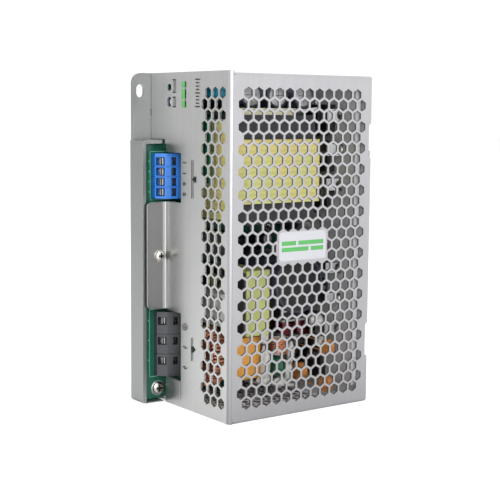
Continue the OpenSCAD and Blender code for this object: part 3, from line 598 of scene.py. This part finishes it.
class Build:
    """One piece made of closed solids, drawn in millimetres on the frame's own axes."""

    def __init__(self, name, *materials):
        self.name, self.mesh, self.materials = name, bmesh.new(), materials

    def skin(self, rings, material=0, closed=False):
        """Quads from each ring of points to the next; open ends are capped."""
        rows = [[self.mesh.verts.new(point) for point in ring] for ring in rings]
        pairs = list(zip(rows, rows[1:])) + ([(rows[-1], rows[0])] if closed else [])
        count = len(rows[0])
        faces = [(a[i], a[(i + 1) % count], b[(i + 1) % count], b[i])
                 for a, b in pairs for i in range(count)]
        if not closed:
            faces += [tuple(reversed(rows[0])), tuple(rows[-1])]
        for corners in faces:
            self.mesh.faces.new(corners).material_index = material

    def lathe(self, profile, axis, origin, material=0, steps=32):
        """A turned shape: radius and height pairs along an axis from the origin."""
        u, v, w = AXES[axis]
        turns = [math.tau * i / steps for i in range(steps)]
        self.skin([[Vector(origin) + r * math.cos(t) * u + r * math.sin(t) * v + h * w for t in turns]
                   for r, h in profile], material)

    def tube(self, points, radius, material=0, sides=8, closed=False):
        """A wire of round section along a path."""
        points = [Vector(p) for p in points]
        count = len(points)
        rings, side = [], None
        for i, point in enumerate(points):
            before = points[i - 1] if closed or i else point
            after = points[(i + 1) % count] if closed or i < count - 1 else point
            run = (after - before).normalized()
            side = (side - side.project(run)).normalized() if side else run.orthogonal().normalized()
            other = run.cross(side)
            rings.append([point + radius * (math.cos(t) * side + math.sin(t) * other)
                          for t in (math.tau * k / sides for k in range(sides))])
        self.skin(rings, material, closed)

    def box(self, low, high, material=0, bevel=0.15):
        """A block with rounded edges."""
        low, high = Vector(low), Vector(high)
        block = bmesh.new()
        bmesh.ops.create_cube(block, size=1)
        bmesh.ops.scale(block, vec=high - low, verts=block.verts)
        bmesh.ops.translate(block, vec=(low + high) / 2, verts=block.verts)
        bevel = min([bevel] + [c * 0.45 for c in high - low])
        bmesh.ops.bevel(block, geom=block.edges[:], offset=bevel, segments=2, profile=0.5,
                        affect="EDGES")
        for face in block.faces:
            face.material_index = material
        copy = bpy.data.meshes.new("block")
        block.to_mesh(copy)
        block.free()
        self.mesh.from_mesh(copy)
        bpy.data.meshes.remove(copy)

    def prism(self, outline, axis, start, end):
        """An outline on the axis's own plane, thickened from start to end."""
        u, v, w = AXES[axis]
        self.skin([[c * w + a * u + b * v for a, b in outline] for c in (start, end)])

    def blob(self, centre, radii):
        """A squeezed-out lump: a ball with a wavy surface."""
        steps, lumps, wave = 14, 0.25, 1.7
        centre, radii = Vector(centre), Vector(radii)
        rings = []
        for i in range(1, steps):
            polar = math.pi * i / steps
            ring = []
            for k in range(2 * steps):
                turn = math.pi * k / steps
                flat = math.sin(polar)
                way = Vector((flat * math.cos(turn), flat * math.sin(turn), -math.cos(polar)))
                swell = 1 + lumps * noise.noise(way * wave + centre * 0.31)
                ring.append(centre + Vector(a * b for a, b in zip(way, radii)) * swell)
            rings.append(ring)
        self.skin(rings)

    def done(self, replaces=()):
        """Make the piece. Every piece made here rides on the case."""
        bmesh.ops.recalc_face_normals(self.mesh, faces=self.mesh.faces)
        for face in self.mesh.faces:
            face.smooth = True
        for edge in self.mesh.edges:
            edge.smooth = len(edge.link_faces) < 2 or edge.calc_face_angle(0) < SHARP
        bmesh.ops.scale(self.mesh, vec=(MM, MM, MM), verts=self.mesh.verts)
        mesh = bpy.data.meshes.new(self.name)
        self.mesh.to_mesh(mesh)
        self.mesh.free()
        for material in self.materials:
            mesh.materials.append(material)
        piece = bpy.data.objects.new(self.name, mesh)
        bpy.context.collection.objects.link(piece)
        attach(piece, "case")
        if replaces:
            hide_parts(*replaces)
        return piece


def middle(low, high):
    return [(a + b) / 2 for a, b in zip(low, high)]


BOARD_X = box_mm("main_board")[1][0]
FRONT_Y = COVER_FRONT_Y


BEAD_HEIGHT = 3.4
SCORE_HALF_WIDTH, SCORE_REACH = 0.14, 0.55


def capacitors(node, count, sleeve_material, top_material):
    """Cans that stand on the board: sleeve shrunk over the rim, groove near the foot, scored top whose
    score lines are black bars of painted shade.
    """
    low, high = box_mm(node)
    r, foot, top = (high[2] - low[2]) / 2, low[0], high[0]
    bead = foot + BEAD_HEIGHT
    build = Build(node + "_cans", sleeve_material, top_material, BLACK)
    for i in range(count):
        y = low[1] + r + (high[1] - low[1] - 2 * r) * i / max(1, count - 1)
        at = (0, y, (low[2] + high[2]) / 2)
        build.lathe([(r * 0.5, foot), (r - 0.5, foot), (r - 0.1, foot + 0.4), (r, foot + 1),
                     (r, bead - 1), (r - 0.5, bead - 0.3), (r - 0.5, bead + 0.3), (r, bead + 1),
                     (r, top - 0.9), (r - 0.15, top - 0.4), (r - 0.5, top - 0.1), (r - 0.9, top),
                     (r - 1.3, top - 0.06), (r - 1.4, top - 0.3), (r * 0.3, top - 0.3)],
                    "X", at, 0, 48)
        build.lathe([(r * 0.3, top - 0.8), (r - 1.38, top - 0.8), (r - 1.38, top - 0.24),
                     (r - 1.7, top - 0.14), (r * 0.2, top - 0.06)], "X", at, 1, 48)
        # Painted shade: the score lines across the top are bars of the black material.
        reach = r * SCORE_REACH
        for dy, dz in ((reach, SCORE_HALF_WIDTH), (SCORE_HALF_WIDTH, reach)):
            build.box((top - 0.3, y - dy, at[2] - dz), (top - 0.03, y + dy, at[2] + dz), 2, 0.04)
    build.done([node])


def rounded_loop(half_u, half_v, count=20):
    """Points round a soft-cornered rectangle."""
    def soft(c):
        return math.copysign(abs(c) ** 0.45, c)

    turns = [math.tau * i / count for i in range(count)]
    return [(half_u * soft(math.cos(t)), half_v * soft(math.sin(t))) for t in turns]


def toroid():
    """Enamelled turns in two layers round the ring, and amber tape over the part without wire."""
    low, high = box_mm("toroid_winding")
    cx, cy, cz = middle(low, high)
    outer, half = (high[2] - low[2]) / 2, (high[1] - low[1]) / 2
    thick, wire, layer_step = 8.5, 0.68, 0.45
    ring, reach = outer - thick / 2, thick / 2
    build = Build("toroid_wire_turns", COPPER, AMBER_TAPE)

    def section(turn, half_u, half_v):
        way = Vector((math.cos(turn), 0, math.sin(turn)))
        centre = Vector((cx, cy, cz)) + way * ring
        return [centre + way * a + Vector((0, b, 0)) for a, b in rounded_loop(half_u, half_v)]

    turns, start, span = 34, math.radians(-164), math.radians(246)
    for i in range(turns):
        inset = wire + 0.05 + layer_step * (i % 2)
        loop = section(start + span * i / (turns - 1), reach - inset, half - inset)
        build.tube(loop, wire, 0, 8, True)
    tape_steps, tape_gap, tape_inset = 22, 0.06, 0.2
    tape_start, tape_span = start + span + tape_gap, math.tau - span - 2 * tape_gap
    build.skin([section(tape_start + tape_span * i / tape_steps, reach - tape_inset, half - tape_inset)
                for i in range(tape_steps + 1)], 1)
    build.done(["toroid_winding"])


def rod_choke():
    """Upright coil of thick wire on a dark rod, with one tail from its bottom running to the board."""
    low, high = box_mm("rod_choke")
    coil, wire, turns, steps = 4.4, 0.58, 7, 20
    x, y = high[0] - 5, (low[1] + high[1]) / 2
    bottom, top = low[2] + 2.0, high[2] - 2.2
    build = Build("rod_choke_coil", COPPER, FERRITE, WHITE)
    path = []
    for i in range(turns * steps + 1):
        turn = math.tau * i / steps
        rise = (top - bottom) * i / (turns * steps)
        path.append((x + coil * math.cos(turn), y + coil * math.sin(turn), bottom + rise))
    build.tube([(BOARD_X, y, bottom), (x - coil - 1, y, bottom)], wire, 0)
    build.tube(path, wire, 0)
    rod = [(2, low[2]), (2.4, low[2] + 0.4), (2.4, high[2] - 0.4), (2, high[2])]
    former = [(3.6, bottom - 0.8), (3.75, bottom), (3.75, top), (3.6, top + 0.8)]
    build.lathe(rod, "Z", (x, y, 0), 1, 24)
    build.lathe(former, "Z", (x, y, 0), 2, 32)
    build.box((BOARD_X, y - 3, bottom + 0.9), (x - coil - 0.7, y + 3, top - 0.6), 2, 0.4)
    build.done(["rod_choke"])


def filter_choke():
    """Two coils of red wire, one on each upright side of the ring core."""
    low, high = box_mm("filter_choke_winding")
    gap, wire, layers, steps = 0.6, 0.5, 7, 20
    depth = (high[1] - low[1] - gap) / 2
    build = Build("filter_choke_coils", RED_WIRE)
    for y in (low[1] + depth / 2, high[1] - depth / 2):
        for inset in (0.55, 1.5):
            loop = rounded_loop((high[0] - low[0]) / 2 - inset, depth / 2 - inset, steps)
            path = []
            for i in range(layers * steps + 1):
                a, b = loop[i % steps]
                rise = (high[2] - low[2] - 2 * gap) * i / (layers * steps)
                path.append(((low[0] + high[0]) / 2 + a, y + b, low[2] + gap + rise))
            build.tube(path, wire, 0, 6)
    build.done(["filter_choke_winding"])


def pan_head(build, x0, y, z, radius, height):
    """A domed head with a cross recess, facing +X, over a short shank. The deep faces of the recess
    take the second material, as painted shade.
    """
    arm, width, wall = radius * 0.52, 0.36 + radius * 0.05, 0.18
    grid, recess_depth, rim_height = 48, height * 0.62, 0.34

    def recess(a, b):
        inside = max(min(arm - abs(a), width - abs(b)), min(arm - abs(b), width - abs(a)))
        return recess_depth * min(1, max(0, inside / wall))

    def on_disc(i, k):
        """A square grid's point, moved so that the grid fills the head's circle."""
        p, q = 2 * i / grid - 1, 2 * k / grid - 1
        return p * math.sqrt(1 - q * q / 2) * radius, q * math.sqrt(1 - p * p / 2) * radius

    rows = []
    for i in range(grid + 1):
        row = []
        for k in range(grid + 1):
            a, b = on_disc(i, k)
            rim = min(1, math.hypot(a, b) / radius)
            dome = height * (rim_height + (1 - rim_height) * math.sqrt(max(0, 1 - rim ** 2.6)))
            row.append(build.mesh.verts.new((x0 + dome - recess(a, b), y + a, z + b)))
        rows.append(row)
    for i in range(grid):
        for k in range(grid):
            # Painted shade: faces deep in the cross recess take the second material.
            deep = recess(*on_disc(i + 0.5, k + 0.5)) > height * 0.2
            corners = (rows[i][k], rows[i + 1][k], rows[i + 1][k + 1], rows[i][k + 1])
            build.mesh.faces.new(corners).material_index = int(deep)
    edge = ([rows[i][0] for i in range(grid)] + [rows[grid][k] for k in range(grid)]
            + [rows[i][grid] for i in range(grid, 0, -1)] + [rows[0][k] for k in range(grid, 0, -1)])
    foot = [build.mesh.verts.new((x0, v.co.y, v.co.z)) for v in edge]
    for i in range(len(edge)):
        j = (i + 1) % len(edge)
        build.mesh.faces.new((edge[j], edge[i], foot[i], foot[j]))
    build.mesh.faces.new(foot)
    build.lathe([(1.1, -3.6), (1.25, -3.2), (1.25, -0.02)], "X", (x0, y, z), 0, 16)


def flap_screw():
    """The screw that holds the flap, on its washer."""
    low, high = box_mm("flap_screw")
    _, y, z = middle(low, high)
    build = Build("flap_screw_head", NICKEL, INK_AND_RECESS_SHADE)
    pan_head(build, box_mm("flap_washer")[1][0], y, z, (high[1] - low[1]) / 2, FLAP_HEAD_HEIGHT)
    build.done(["flap_screw"])


def board_screw_places():
    """The middles of the board's five screws, as y and z. The outer ones follow the node's box."""
    low, high = box_mm("board_screws")
    r = BOARD_NODE_HEAD_R
    return [(low[1] + r, low[2] + 4.5), (-37, 92), (high[1] - r, 4.9), (28, 86.5), (30, high[2] - r)]


# ------------------------------------------------------------ prints, board

FLAP_HEAD_HEIGHT = 2
BOARD_NODE_HEAD_R = 3.4
BOARD_HEAD_R, BOARD_HEAD_HEIGHT, BOARD_HEAD_GAP = 3.3, 2.05, 0.12
SILK_HALF, SILK_MARGIN = 0.1, 0.8
JOINT_Y, JOINT_Z, JOINT_STEP, JOINT_COUNT = -50.4, 52, 9.3, 5
SINK_IN = 0.02
PRINT_T = 0.03
LINE = 0.3
SIGN_X, SIGN_HALF = -2.8, 1.0
SYMBOL_X, SYMBOL_R = -2.0, 1.6
ARROW_X, ARROW_HALF, ARROW_LENGTH = 4.2, 1.8, 2.5
INPUT_ARROW_Z = (25.2, 36.6)
LAMP_MARK_X, LAMP_MARKS_Z = -11.6, ((154.6, 161.2), (147.6, 152.8))
GREEN_BARS_X, GREEN_BARS_Z = (-4.9, -2.0), ((147.6, 150.9), (151.6, 156.4), (157.1, 160.0))
SCALE_X, SCALE_Z, SCALE_STEP, SCALE_MARKS = 8.4, 148.0, 1.6, 9


def stroke(build, x, z, half_x, half_z, material=0):
    """A bar of ink on the front sheet, given by its middle and half sizes."""
    low = (x - half_x, FRONT_Y - PRINT_T, z - half_z)
    build.box(low, (x + half_x, FRONT_Y + SINK_IN, z + half_z), material, 0.01)


def pole_z(name):
    return middle(*box_mm(name))[2]


def arrow(build, low_z, high_z, towards_bar):
    """A bar along the poles with an arrow head beside it."""
    tip = (low_z + high_z) / 2
    stroke(build, ARROW_X, tip, LINE, (high_z - low_z) / 2)
    near, far = ARROW_X + LINE, ARROW_X + LINE + ARROW_LENGTH
    base, point = (far, near) if towards_bar else (near, far)
    head = [(tip - ARROW_HALF, base), (tip + ARROW_HALF, base), (tip, point)]
    build.prism(head, "Y", FRONT_Y - PRINT_T, FRONT_Y + SINK_IN)


def earth_sign(build, z):
    """A ring with three bars that grow shorter downwards."""
    ring = [math.tau * k / 28 for k in range(28)]
    path = [(SYMBOL_X + SYMBOL_R * math.cos(t), FRONT_Y, z + SYMBOL_R * math.sin(t)) for t in ring]
    build.tube(path, 0.16, 0, 6, True)
    for k in range(3):
        stroke(build, SYMBOL_X, z - 0.4 * k, 0.9 - 0.3 * k, 0.1)


def wave_sign(build, z):
    """One period of a sine: alternating current."""
    steps, length, swing = 8, 2.8, 0.45
    path = [(SYMBOL_X + length * (k / steps - 0.5), FRONT_Y, z + swing * math.sin(math.tau * k / steps))
            for k in range(steps + 1)]
    build.tube(path, 0.2, 0, 6)


def prints():
    """Generic marks on the front: signs beside the poles, arrows, and green bars near the top."""
    build = Build("front_marks", INK_AND_RECESS_SHADE, INK_GREEN)
    poles = [pole_z("output_clamp_%d" % i) for i in (1, 2, 3, 4)]
    for i, z in enumerate(poles):
        stroke(build, SIGN_X, z, SIGN_HALF, 0.26)
        if i > 1:
            stroke(build, SIGN_X, z, 0.26, SIGN_HALF)
    arrow(build, poles[3] - 1.5, poles[0] + 1.5, True)
    arrow(build, *INPUT_ARROW_Z, False)
    earth_sign(build, pole_z("input_clamp_1"))
    wave_sign(build, pole_z("input_clamp_2"))
    wave_sign(build, pole_z("input_clamp_3"))
    for low_z, high_z in LAMP_MARKS_Z:
        stroke(build, LAMP_MARK_X, (low_z + high_z) / 2, LINE, (high_z - low_z) / 2)
        for z in (low_z + LINE, high_z - LINE):
            stroke(build, LAMP_MARK_X - 0.5, z, 0.8, LINE)
    for low_z, high_z in GREEN_BARS_Z:
        stroke(build, sum(GREEN_BARS_X) / 2, (low_z + high_z) / 2,
               (GREEN_BARS_X[1] - GREEN_BARS_X[0]) / 2, (high_z - low_z) / 2, 1)
    for k in range(SCALE_MARKS):
        stroke(build, SCALE_X, SCALE_Z + SCALE_STEP * k, 0.9 if k % 4 else 1.5, LINE)
    build.done()


BAR_MARGIN, BAR_GAP, BAR_HEIGHT = 1.6, 1.4, 2.0


def badge():
    """Thin plate with rounded corners and plain green bars."""
    low, high = box_mm("badge_plate")
    face, base = high[0] - 0.05, low[0]
    corner, steps = 1.5, 6
    outline = []
    left, right = low[1] + corner, high[1] - corner
    bottom, top = low[2] + corner, high[2] - corner
    for quarter, (cy, cz) in enumerate(((right, top), (left, top), (left, bottom), (right, bottom))):
        for k in range(steps + 1):
            turn = math.radians(90 * (quarter + k / steps))
            outline.append((cy + corner * math.cos(turn), cz + corner * math.sin(turn)))
    build = Build("badge_with_bars", BADGE, INK_GREEN)
    build.prism(outline, "X", base, face)
    left, right, z = low[1] + BAR_MARGIN, high[1] - BAR_MARGIN, (low[2] + high[2]) / 2 - 0.6
    for base_z, first in ((z + 1.0, 8.6), (z - 2.0, 16.2)):
        for a, b in ((left, left + first), (left + first + BAR_GAP, right)):
            build.box((face - 0.05, a, base_z), (high[0], b, base_z + BAR_HEIGHT), 1, 0.02)
    build.done(["badge_plate"])


def board_details():
    """Screws with solder rings, silkscreen lines and solder joints on the board."""
    places = board_screw_places()
    build = Build("board_screw_heads", NICKEL, INK_AND_RECESS_SHADE)
    for y, z in places:
        pan_head(build, BOARD_X + BOARD_HEAD_GAP, y, z, BOARD_HEAD_R, BOARD_HEAD_HEIGHT)
    build.done(["board_screws"])
    build = Build("board_marks", SILKSCREEN, SOLDER)
    under, face = BOARD_X - SINK_IN, BOARD_X + PRINT_T
    for node, gap in (("output_terminal_housing", 1.1), ("input_terminal_housing", 2.6)):
        low, high = box_mm(node)
        y, z0, z1 = low[1] - gap, low[2] - SILK_MARGIN, high[2] + SILK_MARGIN
        bars = [(y - SILK_HALF, y + SILK_HALF, z0, z1)]
        bars += [(y - SILK_HALF, high[1], z - SILK_HALF, z + SILK_HALF) for z in (z0, z1)]
        poles = [pole_z(n) for n in sorted(NODES) if n.startswith(node.split("_")[0] + "_clamp")]
        bars += [(y - 0.9, y - 0.4, z - 0.3, z + 0.3) for z in poles]
        for a, b, c, d in bars:
            build.box((under, a, c), (face, b, d), 0, 0.01)
    for y, z in places:
        ring = [(2.6, -SINK_IN), (3.9, -SINK_IN), (3.85, 0.1), (2.6, 0.12)]
        build.lathe(ring, "X", (BOARD_X, y, z), 1, 36)
    for k in range(JOINT_COUNT):
        at = (BOARD_X, JOINT_Y, JOINT_Z + JOINT_STEP * k)
        build.lathe([(0.5, -SINK_IN), (0.45, 0.12), (0.2, 0.5)], "X", at, 1, 14)
    build.done()


# Where the small parts stand on the board: y, z, then what the name says
RESISTORS_UPRIGHT = (
    (-36, 100, 0), (-36, 106, 0), (-12, 83, 1), (2, 79, 0), (6, 86, 1), (-33, 84, 0), (22, 78, 0),
    (24, 98, 1), (24, 112, 1), (24, 126, 0), (-6, 7, 0), (-20, 7, 1), (28, 50, 0), (30, 66, 0),
    (-36, 140, 1), (-36, 150, 0),
)
RESISTOR_HALF, RESISTOR_LIFT, LEAD_R = 2.6, 2.2, 0.28
CHIP_HALF_Y, CHIP_HALF_Z, LEG_PITCH = 2, 2.4, 1.27
CHIPS = ((-12, 92), (8, 78), (20, 70), (-30, 88))
SMALL_CANS_RADIUS_HEIGHT = ((4, 90, 2.6, 9), (-34, 95, 2.6, 8), (28, 94, 3.2, 12), (16, 80, 3.2, 14))


def small_parts():
    """Resistors, chips and small capacitors that fill the board between the larger parts."""
    build = Build("board_small_parts", RESISTOR, BLACK, SOLDER)
    for y, z, upright in RESISTORS_UPRIGHT:
        at, half = Vector((BOARD_X + RESISTOR_LIFT, y, z)), RESISTOR_HALF
        axis = "Z" if upright else "Y"
        build.lathe([(0.6, -half), (1.1, -half + 0.3), (1.15, -half + 1), (0.95, -half + 1.3),
                     (0.95, half - 1.3), (1.15, half - 1), (1.1, half - 0.3), (0.6, half)],
                    axis, at, 0, 16)
        for sign in (-1, 1):
            way = AXES[axis][2] * sign
            end = at + way * (half + 0.9)
            build.tube([at + way * half, end - way * 0.3, end + Vector((-0.4, 0, 0)),
                        (BOARD_X, end.y, end.z)], LEAD_R, 2, 6)
    for y, z in CHIPS:
        build.box((BOARD_X + 0.5, y - CHIP_HALF_Y, z - CHIP_HALF_Z),
                  (BOARD_X + 2.1, y + CHIP_HALF_Y, z + CHIP_HALF_Z), 1, 0.15)
        for k in range(4):
            leg = z - 1.9 + LEG_PITCH * k
            for side in (y - 2.6, y + 2.6):
                build.box((BOARD_X, side - 0.5, leg - 0.2),
                          (BOARD_X + 0.9, side + 0.5, leg + 0.2), 2, 0.05)
    for y, z, r, h in SMALL_CANS_RADIUS_HEIGHT:
        build.lathe([(r - 0.4, 0), (r, 0.4), (r, h - 0.3), (r - 0.4, h)], "X", (BOARD_X, y, z), 1, 24)
        build.lathe([(r - 0.6, h - 0.1), (r - 0.7, h + 0.04)], "X", (BOARD_X, y, z), 2, 24)
    build.done()


# Spring clips: which devices, half the strip's width, the device's thickness, shift along Z
CLIPS = (("rectifiers", 3.0, 4.8, 3.4), ("power_transistors", 2.6, 4.5, -4.0))
DEVICES_PER_SINK, STRIP_T, CLIP_SCREW_X = 3, 0.45, 23.4


def clips():
    """Bent spring clips that press the devices on the heat sinks, each with its screw."""
    build = Build("device_clips", STEEL, NICKEL)
    face = box_mm("upper_heat_sink")[0][1]
    for node, half, device_t, shift in CLIPS:
        low, high = box_mm(node)
        step = (high[2] - low[2]) / DEVICES_PER_SINK
        press = face - device_t - 0.12
        spine = [(24.6, face - 0.5), (22.6, face - 0.55), (20.6, face - 2.8), (19.0, press - 0.9),
                 (16.4, press - 0.35), (13.4, press - 0.35), (11.8, press - 1.2)]
        outline = spine + [(x + 0.1, y - STRIP_T) for x, y in reversed(spine)]
        for i in range(DEVICES_PER_SINK):
            z = low[2] + step * (i + 0.5) + shift
            build.skin([[Vector((x, y, z + c)) for x, y in outline] for c in (-half, half)])
            head = [(2.3, 1.6), (2.3, 1.0), (1.7, 0.3), (0.6, 0.0)]
            build.lathe(head, "Y", (CLIP_SCREW_X, face - 2.6, z), 1, 24)
    build.done()


# Lumps of silicone: centre, then half sizes
LUMPS = (
    ((12.6, -4.6, 34.4), (2.6, 2.0, 3.6)), ((12.4, -3.8, 21.0), (3.0, 2.4, 8.6)),
    ((13.8, -5.2, 12.6), (3.4, 4.2, 2.8)), ((13.8, 4.6, 10.4), (3.4, 4.4, 2.6)),
    ((14.0, 11.0, 25.0), (2.6, 1.9, 5.6)), ((13.2, 10.6, 14.4), (2.8, 2.2, 5.4)),
    ((12.2, 8.0, 51.0), (3.0, 3.0, 5.6)), ((15.0, 27.3, 40.2), (3.4, 4.0, 3.2)),
    ((15.0, 30.4, 28.4), (3.0, 2.6, 3.0)), ((11.0, 20.4, 48.6), (2.6, 3.6, 2.8)),
)


def silicone():
    """Lumps of white silicone that hold the tall parts."""
    build = Build("silicone_lumps", SILICONE)
    for centre, radii in LUMPS:
        build.blob(centre, radii)
    build.done()


# Sleeved wires: points along the wire, its radius and which of the two sleeves it has
LEADS = (
    (((-24, -34, 88), (-10, -35, 90), (0, -34.6, 84), (6, -30, 76), (6, -26, 66), (0, -24.6, 60)),
     0.9, 0),
    (((-24, 24, 88), (4, 25, 90), (16, 24, 86), (20, 21, 80), (18, 19, 76.6), (2, 19, 76)), 1.0, 1),
    (((-24, 22, 100), (2, 23, 99), (18, 23.5, 96), (23, 23, 88), (23, 22, 80), (12, 21, 77)), 0.8, 0),
    (((-20, -2, 8), (0, -2, 9), (12, -1, 11), (17, 4, 10), (14, 14, 8), (0, 17, 6)), 0.8, 1),
    (((-24, 8, 148), (17, 10, 146.4), (22, 14, 147), (23, 20, 148), (16, 24, 151)), 0.7, 1),
)


def leads():
    """Sleeved wires that run between the parts, each a smooth curve through its points."""
    build = Build("inner_leads", WIRE_BLACK, WIRE_WHITE)
    steps = 6
    for points, radius, material in LEADS:
        points = [Vector(p) for p in points]
        path = []
        for i in range(len(points) - 1):
            a, b = points[i], points[i + 1]
            before = points[i - 1] if i else a
            after = points[i + 2] if i + 2 < len(points) else b
            for k in range(steps):
                t = k / steps
                bend, twist = 2 * before - 5 * a + 4 * b - after, 3 * a - before - 3 * b + after
                path.append(0.5 * (2 * a + (b - before) * t + bend * t * t + twist * t ** 3))
        build.tube(path + [points[-1]], radius, material, 8)
    build.done()


capacitors("output_capacitors", 3, SLEEVE_BLACK, CAN)
capacitors("filter_capacitor", 1, SLEEVE_BLUE, SLEEVE_BLUE)
capacitors("bulk_capacitor", 1, SLEEVE_BLACK, BLACK)
toroid()
rod_choke()
filter_choke()
flap_screw()
board_details()
prints()
badge()
small_parts()
clips()
silicone()
leads()


# ------------------------------------------------------------------ the stage

def add_floor():
    size = 6.0
    g = Graph("floor_paper")
    fibre = g.noise(4.0, (1, 1, 1), 3)
    paper = g.finish(g.shades(fibre, (0.93, 0.93, 0.93, 1), 0.995, 1.005), 0.9)
    mesh = bpy.data.meshes.new("floor")
    corners = [(-size, -size, 0), (size, -size, 0), (size, size, 0), (-size, size, 0)]
    mesh.from_pydata(corners, [], [(0, 1, 2, 3)])
    mesh.materials.append(paper)
    floor = bpy.data.objects.new("floor", mesh)
    floor.location.z = CAD_BOX[0].z
    bpy.context.collection.objects.link(floor)


add_floor()
